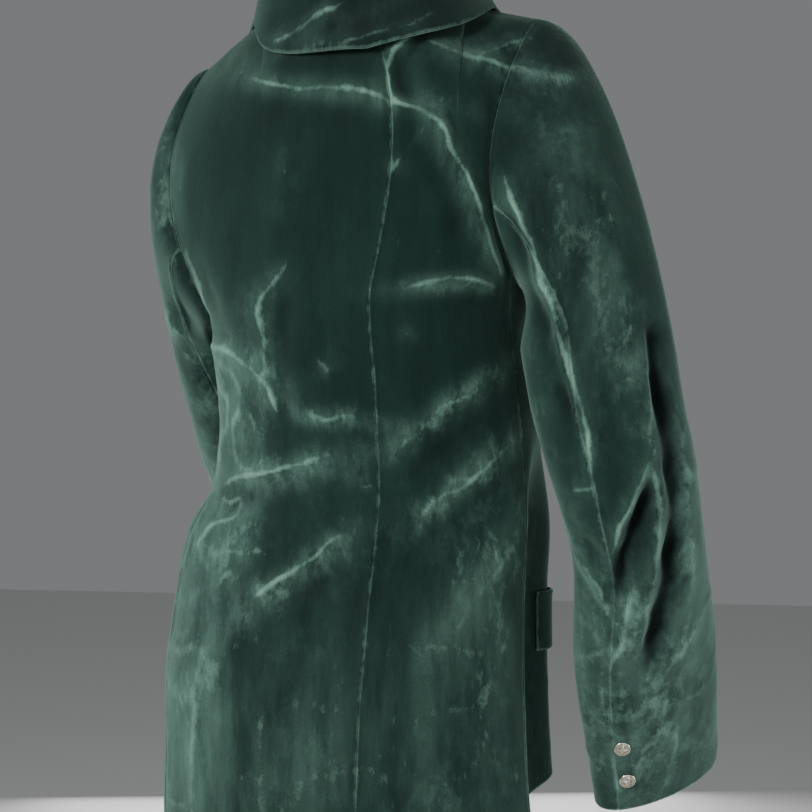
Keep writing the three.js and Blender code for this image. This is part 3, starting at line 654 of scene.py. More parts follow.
ARM_CREASES = crease_table([
    ("sleeve head", 2.4, 7, 5, 0.8, [(488, 62), (520, 70), (556, 77), (592, 79)]),
    ("sleeve head two", 2, 5, 5, 0.6, [(492, 56), (516, 43), (544, 29)]),
    ("hind arm", 6.5, 18, 4.5, 1, [(500, 160), (506, 178), (516, 202), (530, 240), (545, 285), (560, 332),
     (569, 362), (578, 396), (586, 425), (592, 452), (588, 480)]),
    ("hind arm hollow", -7, 7, 9, 0, [(504, 196), (520, 246), (536, 295), (550, 340), (564, 386),
     (576, 428), (578, 462)]),
    ("body line", 3, 5, 9, 0.5, [(494, 184), (500, 236), (506, 280), (512, 320), (520, 366), (530, 410),
     (540, 442)]),
    ("cross crease", 3, 4, 6, 0.8, [(562, 489), (576, 489), (590, 487), (604, 479)]),
    ("cuff dent", -2.2, 5, 5, 0, [(548, 446), (551, 452), (556, 458)]),
    ("elbow left", 4.2, 4.5, 12, 0.6, [(558, 490), (564, 514), (573, 546), (586, 564), (600, 582),
     (606, 604), (606, 640)]),
    ("elbow left hollow", -3.5, 7, 7, 0, [(578, 530), (592, 552), (606, 570)]),
    ("elbow right", 6, 9, 4, 1, [(654, 446), (648, 462), (641, 483), (630, 508), (619, 530), (614, 550),
     (611, 570)]),
    ("elbow hollow", -10, 5, 9, 0, [(653, 474), (646, 496), (637, 516), (627, 540), (621, 562), (615, 590),
     (609, 626)]),
    ("elbow ridge", 4, 7, 6, 0.9, [(651, 456), (656, 486), (659, 512), (658, 545), (655, 580), (648, 622),
     (643, 670)]),
    ("outer hollow", -12, 8, 9, 0, [(650, 316), (655, 360), (660, 400), (668, 434), (674, 474), (675, 512),
     (670, 556), (664, 596), (653, 640), (646, 684)]),
    ("outer lip", 4, 9, 4, 0.7, [(644, 330), (648, 372), (650, 412), (652, 444), (654, 470)]),
    ("outer edge", 3, 8, 8, 0.4, [(682, 440), (688, 500), (690, 560), (686, 620), (676, 672)]),
    ("forearm crest", 3.6, 6, 6, 1, [(630, 588), (626, 612), (622, 638), (616, 656), (609, 676)]),
    ("forearm second", 2.6, 7, 7, 0.6, [(646, 690), (652, 660), (655, 628)]),
    ("vent", 1.4, 3, 7, 0.4, [(606, 650), (604, 676), (604, 702), (608, 740), (615, 772), (622, 808)]),
    ("upper arm soft", 2.4, 16, 16, 0.2, [(560, 110), (590, 160), (608, 220), (622, 290)]),
    ("upper arm second", -2, 12, 12, 0, [(545, 150), (572, 210), (592, 270), (606, 330)]),
    ("elbow back", 2.4, 8, 6, 0.5, [(600, 360), (622, 372), (640, 392)]),
    ("cuff pull", 2, 8, 10, 0.3, [(690, 700), (676, 730), (668, 770)]),
])

COLLAR_CREASES = crease_table([
    ("collar diagonal", 2.6, 7, 5, 0.9, [(260, 50), (284, 37), (312, 20), (338, 4), (352, -6)]),
    ("collar shelf", 1.8, 6, 6, 0.6, [(296, 46), (340, 42), (376, 34), (412, 22), (446, 12)]),
    ("collar hollow", -2, 9, 9, 0, [(300, 34), (340, 24), (380, 12)]),
])

LEFT_ARM_CREASES = crease_table([
    ("inner bend", 5, 5, 7, 0.8, [(162, 296), (168, 312), (176, 330), (188, 340), (206, 342)]),
    ("inner bend hollow", -5, 8, 8, 0, [(168, 296), (180, 314), (196, 326), (206, 328)]),
    ("second bend", 3, 5, 6, 0.5, [(176, 350), (190, 354), (206, 372)]),
])

# Creases of the sides that the camera doesn't see, along (u, v) of their own panel.
PANEL_CREASES = {
    "front": crease_table([
        ("break", 4, 10, 7, 0.6, [(0.02, 0.545), (0.2, 0.54), (0.45, 0.51), (0.7, 0.475)]),
        ("break two", 3, 9, 7, 0.5, [(0.05, 0.42), (0.3, 0.425), (0.55, 0.44)]),
        ("underarm", 4, 8, 8, 0.6, [(0.04, 0.72), (0.16, 0.68), (0.34, 0.655)]),
        ("chest", 2.6, 12, 12, 0.3, [(0.12, 0.86), (0.2, 0.8), (0.24, 0.72)]),
        ("skirt", 3.2, 14, 14, 0.3, [(0.5, 0.02), (0.46, 0.12), (0.42, 0.24), (0.4, 0.34)]),
        ("skirt two", 2.4, 12, 12, 0.2, [(0.82, 0.02), (0.78, 0.14), (0.76, 0.28)]),
    ]),
    "sleeve_upper": crease_table([
        ("elbow one", 4.5, 8, 6, 0.7, [(0.02, 0.6), (0.16, 0.615), (0.34, 0.6), (0.46, 0.57)]),
        ("elbow two", 4, 7, 7, 0.6, [(0.02, 0.66), (0.18, 0.675), (0.38, 0.685)]),
        ("elbow three", 3.4, 7, 7, 0.5, [(0.06, 0.53), (0.2, 0.545), (0.32, 0.52)]),
        ("head", 2.4, 10, 10, 0.3, [(0.3, 0.06), (0.34, 0.16), (0.36, 0.28)]),
        ("front long", 3, 10, 10, 0.3, [(0.12, 0.12), (0.1, 0.24), (0.14, 0.38)]),
    ]),
    "sleeve_under": crease_table([
        ("bend one", 5, 7, 7, 0.6, [(0.98, 0.59), (0.7, 0.61), (0.4, 0.6), (0.2, 0.58)]),
        ("bend two", 4.4, 7, 7, 0.5, [(0.98, 0.66), (0.66, 0.67), (0.36, 0.665)]),
        ("bend three", 3.6, 7, 7, 0.4, [(0.98, 0.52), (0.72, 0.535), (0.5, 0.52)]),
    ]),
    "right_under": crease_table([
        ("inside bend", 4.2, 7, 7, 0.5, [(0.98, 0.57), (0.8, 0.585), (0.56, 0.575)]),
        ("inside bend two", 3.4, 7, 7, 0.4, [(0.98, 0.5), (0.84, 0.505), (0.66, 0.49)]),
    ]),
}


def smooth_path(path, parts=4):
    """Points of a smooth curve through a path."""
    p = np.array(path, float)
    p = np.vstack([2 * p[0] - p[1], p, 2 * p[-1] - p[-2]])
    out = []
    for i in range(1, len(p) - 2):
        for t in np.arange(parts) / parts:
            out.append(0.5 * (2 * p[i] + (p[i + 1] - p[i - 1]) * t
                              + (2 * p[i - 1] - 5 * p[i] + 4 * p[i + 1] - p[i + 2]) * t * t
                              + (3 * p[i] - p[i - 1] - 3 * p[i + 1] + p[i + 2]) * t ** 3))
    return np.vstack([out, p[-2]])


def along_path(spot, path):
    """How far points lie from a path, with the sign of its side, and how far along it."""
    nearest = np.full(len(spot), np.inf)
    signed, along = np.zeros(len(spot)), np.zeros(len(spot))
    passed = 0.0
    for a, b in zip(path[:-1], path[1:]):
        way = b - a
        length = np.hypot(*way)
        off = spot - a
        t = np.clip(off @ way / length ** 2, 0, 1)
        gap = np.hypot(*(off - t[:, None] * way).T)
        closer = gap < nearest
        side = np.sign(way[0] * off[:, 1] - way[1] * off[:, 0])
        nearest = np.where(closer, gap, nearest)
        signed = np.where(closer, side * gap, signed)
        along = np.where(closer, passed + t * length, along)
        passed += length
    return signed, along, passed


# How far a crease reaches, as a share of its spread; how it dies out at its ends, in
# millimetres and as a share of its length; and how its size ripples along it.
REACH, FADE, FADE_SHARE = 3.2, 24.0, 0.4
RIPPLE = dict(even=0.78, high=0.22, length=9, kinds=5, shift=1.7)
STEEP = dict(trough=2.0, ridge=1.45)
LIP = dict(under=6, at=2.2, high=-0.3)


def crease_relief(flat, rows):
    """Height of a set of creases at points given in flat millimetres, with the pale line painted along
    each crest, partly worn pile and partly a painted highlight, and the wider painted sheen round it.
    """
    height, rub, halo = (np.zeros(flat.shape[:-1]) for _ in range(3))
    for number, row in enumerate(rows):
        path = smooth_path(row["path_mm"])
        reach = REACH * max(row["near"], row["far"])
        low, high = path.min(axis=0) - reach, path.max(axis=0) + reach
        inside = np.all((flat > low) & (flat < high), axis=-1)
        if not inside.any():
            continue
        signed, along, length = along_path(flat[inside], path)
        away = np.abs(signed)
        fade = min(FADE, length * FADE_SHARE)
        ends = ease(along / fade) * ease((length - along) / fade)
        turn = along / (RIPPLE["length"] + number % RIPPLE["kinds"]) + number * RIPPLE["shift"]
        uneven = RIPPLE["even"] + RIPPLE["high"] * np.sin(turn)
        spread = np.where(signed < 0, row["near"], row["far"])
        ridge = row["high"] > 0
        shape = np.exp(-(away / spread) ** STEEP["ridge" if ridge else "trough"])
        lip = LIP["high"] * np.exp(-((away - LIP["at"] * spread) / spread) ** 2)
        shape += np.where(ridge & (spread < LIP["under"]), lip, 0)
        height[inside] += row["high"] * ends * uneven * shape
        # A pale line painted on the crest: partly worn pile, partly a painted highlight where the pile
        # glints.
        rub[inside] += row["rub"] * ends * uneven * np.exp(-(away / CREST) ** 2)
        # A soft painted sheen round the crest.
        halo[inside] += row["rub"] * ends * np.exp(-(away / HALO) ** 2)
    return height, rub, halo


def as_seen(rows):
    return [dict(row, path_mm=[(x * PX, -y * PX) for x, y in row["path"]]) for row in rows]


def on_panel(rows, wide, tall):
    return [dict(row, path_mm=[(u * wide, v * tall) for u, v in row["path"]]) for row in rows]


# Where the pile is painted paler: partly pile that lies lifted, partly painted light and sheen on the
# grazing edges, the lower skirt, the forearm and along the fold crests. Middle and half sizes in
# pixels of the picture, and how far the patch is turned in it, in degrees.
NAP_REST, NAP_HIDDEN = 0.02, 0.35
BRUSHED_AND_LIT = table("name at wide turn much", [
    ("upper sleeve", (572, 215), (34, 120), -14, 0.7),
    ("sleeve back", (618, 330), (24, 90), -12, 0.5),
    ("outer sleeve", (688, 560), (28, 160), 0, 1.15),
    ("left forearm", (592, 655), (28, 90), 0, 1.1),
    ("forearm", (634, 640), (22, 64), 12, 1.2),
    ("cuff", (652, 735), (60, 66), 0, 1),
    ("skirt", (370, 780), (280, 190), 0, 0.26),
    ("left skirt", (190, 700), (40, 160), 0, 1),
    ("low middle", (300, 760), (90, 90), 0, 0.35),
    ("right skirt", (478, 640), (46, 140), 10, 0.55),
    ("left waist", (228, 430), (30, 86), -6, 1.2),
    ("left edge", (166, 215), (14, 90), 0, 0.9),
    ("lower diagonal", (468, 478), (78, 13), -41, 0.95),
    ("upper diagonal", (444, 410), (80, 12), -36, 0.8),
    ("third diagonal", (470, 590), (80, 16), -54, 0.6),
    ("shelf", (452, 286), (56, 9), -4, 0.7),
    ("left shelf", (238, 364), (60, 16), 32, 0.6),
    ("waist band", (272, 478), (76, 15), -16, 0.8),
    ("waist knot", (216, 536), (26, 54), 14, 1),
    ("tick two", (334, 418), (46, 9), 6, 0.7),
    ("hip", (292, 580), (76, 15), -36, 0.8),
    ("upper roll", (330, 92), (110, 12), 8, 0.5),
    ("blade", (462, 190), (110, 12), 68, 0.5),
    ("shoulder", (500, 60), (90, 14), 16, 0.45),
    ("collar", (330, 30), (90, 10), -24, 0.5),
])

# Painted shade on the upward-facing collar, shoulders and upper arm, given in the same way.
PAINTED_SHADE_PATCHES = table("name at wide turn much", [
    ("collar", (385, 20), (160, 36), -10, 0.85),
    ("right shoulder", (560, 55), (80, 62), 30, 0.9),
    ("left shoulder", (222, 112), (66, 56), -40, 0.4),
    ("upper arm", (560, 160), (50, 80), -10, 0.25),
])
PAINTED_SHADE_STRENGTH = 0.3


def patches(seen, rows):
    """How far points of the picture lie within a set of soft patches."""
    total = np.zeros(seen.shape[:-1])
    for row in rows:
        off = seen - np.array(row["at"])
        c, s = math.cos(row["turn"] * RAD), math.sin(row["turn"] * RAD)
        along = (off[..., 0] * c + off[..., 1] * s) / row["wide"][0]
        across = (off[..., 1] * c - off[..., 0] * s) / row["wide"][1]
        total += row["much"] * np.exp(-along ** 2 - across ** 2)
    return total


# ---------------------------------------------------------------- cloth
# Seams and free edges get a pale line painted along them: partly rubbed pile, partly a painted highlight
# where the pile glints at the ridge or fold.
SEAM = dict(rise=0.45, at=2.2, wide=1.5, groove=0.5, groove_wide=0.7, rub=0.42, rub_at=0.4,
            calm=0.25, calm_wide=9)
FREE_EDGE = dict(fall=0.9, fall_wide=1.0, rub=0.62, rub_wide=2.4)
EDGE_LINES = np.array([0.0, 0.5, 1.0, 1.7, 2.5, 3.5, 4.8])


def bell(distance, wide, at=0.0):
    return np.exp(-((distance - at) / wide) ** 2)


def seam_relief(distance):
    """A pressed seam seen from its edge: the cloth rises a little and rolls in."""
    return (SEAM["rise"] * bell(distance, SEAM["wide"], SEAM["at"])
            - SEAM["groove"] * bell(distance, SEAM["groove_wide"]))


def grid_lines(length, size):
    """Shares of a length for the lines of a grid: even in the middle, close at both edges."""
    near = EDGE_LINES / length
    count = max(int((length - 2 * EDGE_LINES[-1]) / size), 3)
    middle = np.linspace(near[-1], 1 - near[-1], count + 1)[1:-1]
    return np.concatenate([near, middle, 1 - near[::-1]])


SOFT = dict(big=70.0, small=26.0, high=1.1, low=0.45, stretch=np.array([1, 1, 0.5]))
CRUMPLE = dict(size=34.0, stretch=np.array([1, 1, 0.7]), seed=4, thin=2.6, high=1.2, rub=0.55)
WOBBLE, WOBBLE_SIZE, WOBBLE_SEEDS = 2.2, 15.0, (5, 9)
# The painted fold shade's neutral level and the fold height that spans it, and how much painted sheen goes
# round each crest.
FOLD_REST, FOLD_SPAN, HALO_SHEEN = 0.5, 15.0, 0.3
CREASE_TURN, NAP_TURN = 2.2, 4


def soft_swell(points):
    """The cloth's own slight unevenness, in millimetres."""
    return (SOFT["high"] * noise(points, SOFT["big"], 1)
            + SOFT["low"] * noise(points * SOFT["stretch"], SOFT["small"], 2))


def sheet_frame(base, flip):
    """Directions square to a grid of points, and the distance of each from all four edges."""
    along_u, along_v = np.gradient(base, axis=1), np.gradient(base, axis=0)
    normal = unit(np.cross(along_u, along_v)) * (-1 if flip else 1)
    step_u, step_v = (np.linalg.norm(step, axis=-1) for step in (along_u, along_v))
    wide = np.cumsum(step_u, axis=1) - step_u[:, :1]
    tall = np.cumsum(step_v, axis=0) - step_v[:1]
    return normal, {"l": wide, "r": wide[:, -1:] - wide, "b": tall, "t": tall[-1:] - tall}


def crumpled(base):
    """Thin crossing ridges of pile that has been pressed."""
    bumps = noise(base * CRUMPLE["stretch"], CRUMPLE["size"], CRUMPLE["seed"])
    return np.clip(1 - CRUMPLE["thin"] * np.abs(bumps), 0, 1) ** 2


def placed_creases(u, v, seen, facing, edge, creases, local):
    """Each set of creases, with where the cloth's points lie in its flat millimetres."""
    if creases:
        yield seen * np.array([PX, -PX]), as_seen(creases), ease(CREASE_TURN * facing)
    if local:
        wide, tall = float(np.mean(edge["l"][:, -1])), float(np.mean(edge["b"][-1]))
        yield np.stack([u * wide, v * tall], axis=-1), on_panel(local, wide, tall), 1.0


def cloth(name, at, size, grid, creases=(), local=(), seams="", flip=False, quiet=1.0):
    """Makes a panel of cloth on the surface `at`, with its creases, seams and thickness.

    `seams` names the edges that are sewn: l and r for the first and last column, b and t for
    the bottom and top row. The others are free, and turn under in a soft fold.
    """
    u, v = np.meshgrid(*(grid_lines(length, grid) for length in size))
    base = at(u, v)
    normal, edge = sheet_frame(base, flip)
    seen = seen_at(base)
    facing = normal @ unit(np.array(camera_axes()[0]))
    shown = ease(NAP_TURN * facing + 0.5)
    # Painted paler pile: partly pile that lies lifted, partly painted light and sheen; a plain level on
    # the sides turned from the camera.
    nap_and_sheen = lerp(NAP_HIDDEN, NAP_REST + patches(seen, BRUSHED_AND_LIT), shown)
    crumple = quiet * crumpled(base) * np.clip(nap_and_sheen, 0, 1)
    height = quiet * soft_swell(base) + CRUMPLE["high"] * crumple
    rub = CRUMPLE["rub"] * crumple
    folds = np.zeros(base.shape[:-1])
    wobble = WOBBLE * np.stack([noise(base, WOBBLE_SIZE, seed) for seed in WOBBLE_SEEDS], axis=-1)
    for flat, rows, share in placed_creases(u, v, seen, facing, edge, creases, local):
        bump, worn, halo = crease_relief(flat + wobble, rows)
        folds += bump * share
        rub += worn * share
        # A soft painted sheen round each crest.
        nap_and_sheen += HALO_SHEEN * halo * share
    height += folds
    for key, distance in edge.items():
        if key in seams:
            height *= lerp(SEAM["calm"], 1, ease(distance / SEAM["calm_wide"]))
            height += seam_relief(distance)
            # Painted pale line along the seam: partly rubbed pile, partly a painted highlight.
            rub += SEAM["rub"] * bell(distance, SEAM["wide"], SEAM["rub_at"])
        else:
            height -= FREE_EDGE["fall"] * bell(distance, FREE_EDGE["fall_wide"])
            # Painted pale line along the free edge: partly rubbed pile, partly a painted glint.
            rub += FREE_EDGE["rub"] * bell(distance, FREE_EDGE["rub_wide"])
    outer = base + normal * col(height)
    # Painted shade in fold hollows and painted highlight on fold ridges, with more painted shade on the
    # collar and shoulder tops.
    depth = FOLD_REST + folds / FOLD_SPAN - PAINTED_SHADE_STRENGTH * shown * patches(seen, PAINTED_SHADE_PATCHES)
    values = {"rub": rub, "nap_and_sheen": nap_and_sheen, "fold": depth}
    return make_shell(name, outer, outer - normal * CLOTH, values, flip)


def make_shell(name, outer, inner, values, flip):
    """A closed shell whose wrong side has the second material."""
    rows, columns = outer.shape[:2]
    count = rows * columns
    grid = np.arange(count).reshape(rows, columns)
    corners = [grid[:-1, :-1], grid[:-1, 1:], grid[1:, 1:], grid[1:, :-1]]
    face = np.stack(corners, axis=-1).reshape(-1, 4)
    ring = np.concatenate([grid[0], grid[1:, -1], grid[-1, -2::-1], grid[-2::-1, 0]])
    a, b = ring[:-1], ring[1:]
    rim = np.stack([b, a, a + count, b + count], axis=-1)
    faces = np.concatenate([face, face[:, ::-1] + count, rim])
    if flip:
        faces = faces[:, ::-1]
    points = np.concatenate([outer.reshape(-1, 3), inner.reshape(-1, 3)]) * MM
    made = new_object(name, points.tolist(), faces.tolist())
    side = np.repeat([0, 1, 0], [len(face), len(face), len(rim)]).astype(np.int32)
    made.data.polygons.foreach_set("material_index", side)
    for key, value in values.items():
        layer = made.data.attributes.new(key, "FLOAT", "POINT")
        layer.data.foreach_set("value", np.clip(np.tile(value.ravel(), 2), 0, 1).astype(np.float32))
    made.data.update()
    return made


# ---------------------------------------------------------------- materials
def node_tree(name, **constants):
    """A new material with its shader's plain values set."""
    material = bpy.data.materials.new(name)
    material.use_nodes = True
    shader = material.node_tree.nodes["Principled BSDF"]
    for key, value in constants.items():
        shader.inputs[key.replace("_", " ")].default_value = value
    return material, material.node_tree, shader


def add_node(tree, kind, links=(), **settings):
    node = tree.nodes.new(kind)
    for key, value in settings.items():
        if key in node.inputs:
            node.inputs[key].default_value = value
        else:
            setattr(node, key, value)
    for socket, source in links:
        tree.links.new(source, node.inputs[socket])
    return node


def object_place(tree):
    return add_node(tree, "ShaderNodeTexCoord").outputs["Object"]


def noise_node(tree, place, stretch, scale, detail=4.0, roughness=0.55):
    mapping = add_node(tree, "ShaderNodeMapping", [("Vector", place)], Scale=stretch)
    texture = add_node(tree, "ShaderNodeTexNoise", [("Vector", mapping.outputs["Vector"])],
                       Scale=scale, Detail=detail, Roughness=roughness)
    return texture.outputs["Fac"]


def bump_node(tree, height, strength, distance, under=None):
    links = [("Height", height)] + ([] if under is None else [("Normal", under)])
    return add_node(tree, "ShaderNodeBump", links, Strength=strength, Distance=distance).outputs[0]


def spread_node(tree, source, low, high):
    spread = add_node(tree, "ShaderNodeMapRange", [("Value", source)])
    spread.inputs["To Min"].default_value = low
    spread.inputs["To Max"].default_value = high
    return spread.outputs["Result"]


def grey(value):
    return (value, value, value)


def ramp_node(tree, source, stops):
    ramp = add_node(tree, "ShaderNodeValToRGB", [("Fac", source)])
    elements = ramp.color_ramp.elements
    while len(elements) < len(stops):
        elements.new(0.5)
    for element, (position, colour) in zip(elements, stops):
        element.position = position
        element.color = (*colour, 1)
    return ramp.outputs["Color"]


def mix_node(tree, factor, first, second, blend="MIX"):
    mix = tree.nodes.new("ShaderNodeMix")
    mix.data_type = "RGBA"
    mix.blend_type = blend
    for socket, value in ((0, factor), (6, first), (7, second)):
        if isinstance(value, (int, float)):
            mix.inputs[socket].default_value = value
        elif isinstance(value, tuple):
            mix.inputs[socket].default_value = (*value, 1)
        else:
            tree.links.new(value, mix.inputs[socket])
    return mix.outputs[2]


def maths(tree, operation, *values):
    node = add_node(tree, "ShaderNodeMath", operation=operation, use_clamp=True)
    for socket, value in enumerate(values):
        if isinstance(value, (int, float)):
            node.inputs[socket].default_value = value
        else:
            tree.links.new(value, node.inputs[socket])
    return node.outputs[0]


def times(tree, first, *others):
    for other in others:
        first = maths(tree, "MULTIPLY", first, other)
    return first


def connect(tree, shader, **sources):
    for key, source in sources.items():
        tree.links.new(source, shader.inputs[key.replace("_", " ")])


# The pile's colours. The two palest serve for lifted and worn pile and also for painted sheen and painted
# highlights on crests and edges.
PILE = dict(deep=(0.0034, 0.0135, 0.0112), mid=(0.0048, 0.0182, 0.0150),
            light=(0.0074, 0.0250, 0.0205), brushed_and_sheen=(0.086, 0.166, 0.136), crest=(0.16, 0.29, 0.235))


def attribute_node(tree, name):
    return add_node(tree, "ShaderNodeAttribute", attribute_name=name).outputs["Fac"]


BLACK, WHITE = grey(0), grey(1)


def pile_ground(tree, patch, streak):
    """The pile's own dark green, uneven in patches and in streaks down the cloth."""
    tone = maths(tree, "MULTIPLY_ADD", patch, 0.55, times(tree, streak, 0.45))
    return ramp_node(tree, tone, [(0.36, PILE["deep"]), (0.5, PILE["mid"]), (0.66, PILE["light"])])


def brushed_and_lit_pile(tree, colour, nap_and_sheen, patch, streak, mottle):
    """Paler pile, partly lifted pile and partly painted light and sheen: an even lift along the streaks,
    and blotches in the larger patches.
    """
    streaks = ramp_node(tree, streak, [(0.36, grey(0.18)), (0.64, WHITE)])
    colour = mix_node(tree, times(tree, nap_and_sheen, streaks, 0.56), colour, PILE["brushed_and_sheen"])
    blotches = ramp_node(tree, mottle, [(0.47, BLACK), (0.64, WHITE)])
    wide = ramp_node(tree, patch, [(0.42, BLACK), (0.58, WHITE)])
    return mix_node(tree, times(tree, blotches, wide, nap_and_sheen, 0.75), colour, PILE["brushed_and_sheen"])


def worn_and_glinting_crests(tree, colour, place):
    """Frayed pale lines along the crests, seams and edges: partly worn pile, partly a painted highlight
    where the pile glints.
    """
    worn = attribute_node(tree, "rub")
    frayed = noise_node(tree, place, (1, 1, 0.6), 150.0, 4, 0.65)
    line = maths(tree, "MULTIPLY_ADD", worn, 0.6, times(tree, frayed, 0.75))
    line = ramp_node(tree, line, [(0.52, BLACK), (1.0, WHITE)])
    return mix_node(tree, times(tree, line, 0.72), colour, PILE["crest"])


def glancing_pile(tree, colour, nap_and_sheen):
    """Painted sheen: pile seen at a glancing angle is painted paler, more so in the paler patches."""
    glance = add_node(tree, "ShaderNodeLayerWeight", Blend=0.5).outputs["Facing"]
    more = maths(tree, "MULTIPLY_ADD", nap_and_sheen, 0.7, 0.4)
    share = times(tree, maths(tree, "POWER", glance, 1.9), 0.85, more)
    return mix_node(tree, share, colour, PILE["brushed_and_sheen"])


def shaded_folds(tree, colour, grain):
    """Painted shade in the fold hollows and painted highlight on the ridges, with more painted shade on
    the collar and shoulder tops, and a fine grain over all.
    """
    shade = ramp_node(tree, attribute_node(tree, "fold"),
                      [(0.0, (0.16, 0.16, 0.2)), (0.5, WHITE), (1.0, (1.5, 1.5, 1.45))])
    colour = mix_node(tree, 1.0, colour, shade, "MULTIPLY")
    dust = ramp_node(tree, grain, [(0.30, grey(0.76)), (0.70, grey(1.2))])
    return mix_node(tree, 1.0, colour, dust, "MULTIPLY")


def velvet():
    material, tree, shader = node_tree(
        "velvet", Specular_IOR_Level=0.12, Sheen_Weight=0.55, Sheen_Roughness=0.38,
        Sheen_Tint=(0.42, 0.68, 0.57, 1))
    place = object_place(tree)
    patch = noise_node(tree, place, (1, 1, 0.8), 7.0, 5, 0.6)
    streak = noise_node(tree, place, (1, 1, 0.22), 34.0, 5, 0.65)
    mottle = noise_node(tree, place, (1, 1, 0.6), 75.0, 6, 0.7)
    grain = noise_node(tree, place, (1, 1, 0.7), 1500.0, 2, 0.6)
    nap_and_sheen = attribute_node(tree, "nap_and_sheen")
    colour = pile_ground(tree, patch, streak)
    colour = brushed_and_lit_pile(tree, colour, nap_and_sheen, patch, streak, mottle)
    colour = worn_and_glinting_crests(tree, colour, place)
    colour = glancing_pile(tree, colour, nap_and_sheen)
    fine = bump_node(tree, grain, 0.35, 0.0004)
    connect(tree, shader, Base_Color=shaded_folds(tree, colour, grain),
            Roughness=spread_node(tree, mottle, 0.72, 0.95),
            Normal=bump_node(tree, mottle, 0.5, 0.0016, fine))
    return material


def threads_node(tree, place, axis, scale, distortion):
    return add_node(tree, "ShaderNodeTexWave", [("Vector", place)], bands_direction=axis,
                    Scale=scale, Distortion=distortion).outputs["Fac"]


def cloth_back():
    """The velvet's wrong side: a matte woven ground."""
    material, tree, shader = node_tree("velvet_back", Roughness=0.9, Specular_IOR_Level=0.15)
    place = object_place(tree)
    threads = times(tree, *(threads_node(tree, place, axis, 420.0, 1.2) for axis in "XZ"))
    patch = noise_node(tree, place, (1, 1, 1), 18.0)
    tone = maths(tree, "MULTIPLY_ADD", threads, 0.45, times(tree, patch, 0.5))
    colour = ramp_node(tree, tone, [(0.2, (0.010, 0.026, 0.021)), (0.8, (0.030, 0.060, 0.050))])
    connect(tree, shader, Base_Color=colour, Normal=bump_node(tree, threads, 0.4, 0.0003))
    return material


def button_metal():
    """Aged pale metal, darker in its hollows."""
    material, tree, shader = node_tree("button_metal", Metallic=1.0)
    stain = noise_node(tree, object_place(tree), (1, 1, 1), 420.0, 5, 0.6)
    hollow = add_node(tree, "ShaderNodeNewGeometry").outputs["Pointiness"]
    hollow_dark = ramp_node(tree, hollow, [(0.46, BLACK), (0.54, WHITE)])
    colour = ramp_node(tree, stain, [(0.32, (0.46, 0.40, 0.28)), (0.55, (0.93, 0.88, 0.74))])
    colour = mix_node(tree, hollow_dark, (0.07, 0.055, 0.035), colour)
    connect(tree, shader, Base_Color=colour, Roughness=spread_node(tree, stain, 0.14, 0.34),
            Normal=bump_node(tree, stain, 0.2, 0.0002))
    return material


def thread():
    material, tree, shader = node_tree("thread", Roughness=0.6, Sheen_Weight=0.3)
    twist = threads_node(tree, object_place(tree), "DIAGONAL", 900.0, 0.8)
    colour = ramp_node(tree, twist, [(0.2, (0.006, 0.020, 0.017)), (0.8, (0.022, 0.058, 0.049))])
    connect(tree, shader, Base_Color=colour, Normal=bump_node(tree, twist, 0.5, 0.0002))
    return material


# ---------------------------------------------------------------- stitches
BUTTONHOLE = dict(into=0.89, long=19.0, wide=1.7, stitch=2.4, thick=0.42, sink=0.6, stitches=58,
                  sides=6)
# A stitch's sections: where each lies along it, as a share of its length, and how full it is.
STITCH_SECTIONS = [(-0.5, 0.45), (-0.36, 1.0), (0.36, 1.0), (0.5, 0.45)]


def stadium(share, long, wide):
    """Place on a long rounded ring, and the way out of it, in its own flat millimetres."""
    straight, bend = long - 2 * wide, PI * wide
    passed = share * 2 * (straight + bend)
    passed, side = (passed, 1) if passed < straight + bend else (passed - straight - bend, -1)
    if passed < straight:
        return side * (passed - straight / 2), side * wide, 0.0, float(side)
    turn = (passed - straight) / wide
    out_x, out_y = side * math.sin(turn), side * math.cos(turn)
    return side * straight / 2 + wide * out_x, wide * out_y, out_x, out_y


def tube_faces(start, rings, sides):
    """Faces of a closed tube whose rings of points begin at a given number."""
    faces = []
    for ring in range(rings - 1):
        for k in range(sides):
            a, b = (start + ring * sides + corner for corner in (k, (k + 1) % sides))
            faces.append((a, b, b + sides, a + sides))
    last = start + (rings - 1) * sides
    return faces + [tuple(range(start + sides - 1, start - 1, -1)), tuple(range(last, last + sides))]


def stitch_ring(name, spot, along, across, normal, size):
    """Close buttonhole stitches laid square to a long ring."""
    points, faces = [], []
    for k in range(size["stitches"]):
        x, y, out_x, out_y = stadium(k / size["stitches"], size["long"], size["wide"])
        middle = spot + along * x + across * y
        way = along * out_x + across * out_y
        side = np.cross(normal, way)
        faces += tube_faces(len(points), len(STITCH_SECTIONS), size["sides"])
        for end, full in STITCH_SECTIONS:
            for j in range(size["sides"]):
                turn = 2 * PI * j / size["sides"]
                lift = side * math.cos(turn) + normal * math.sin(turn)
                points.append(middle + way * end * size["stitch"] + lift * full * size["thick"])
    return new_object(name, (np.array(points) * MM).tolist(), faces)


# ---------------------------------------------------------------- buttons
# Shares of a button's radius and height, from its rim up to just short of its middle.
BUTTON_PROFILE = [(0.82, 0), (0.98, 0.1), (1, 0.26), (0.97, 0.4), (0.9, 0.46), (0.82, 0.42),
                  (0.78, 0.46), (0.66, 0.66), (0.46, 0.84), (0.24, 0.95)]
BUTTON_SPOKES = 48
PETALS = dict(depth=0.26, sharp=0.6, start=0.76, fade=0.2, above=0.4)


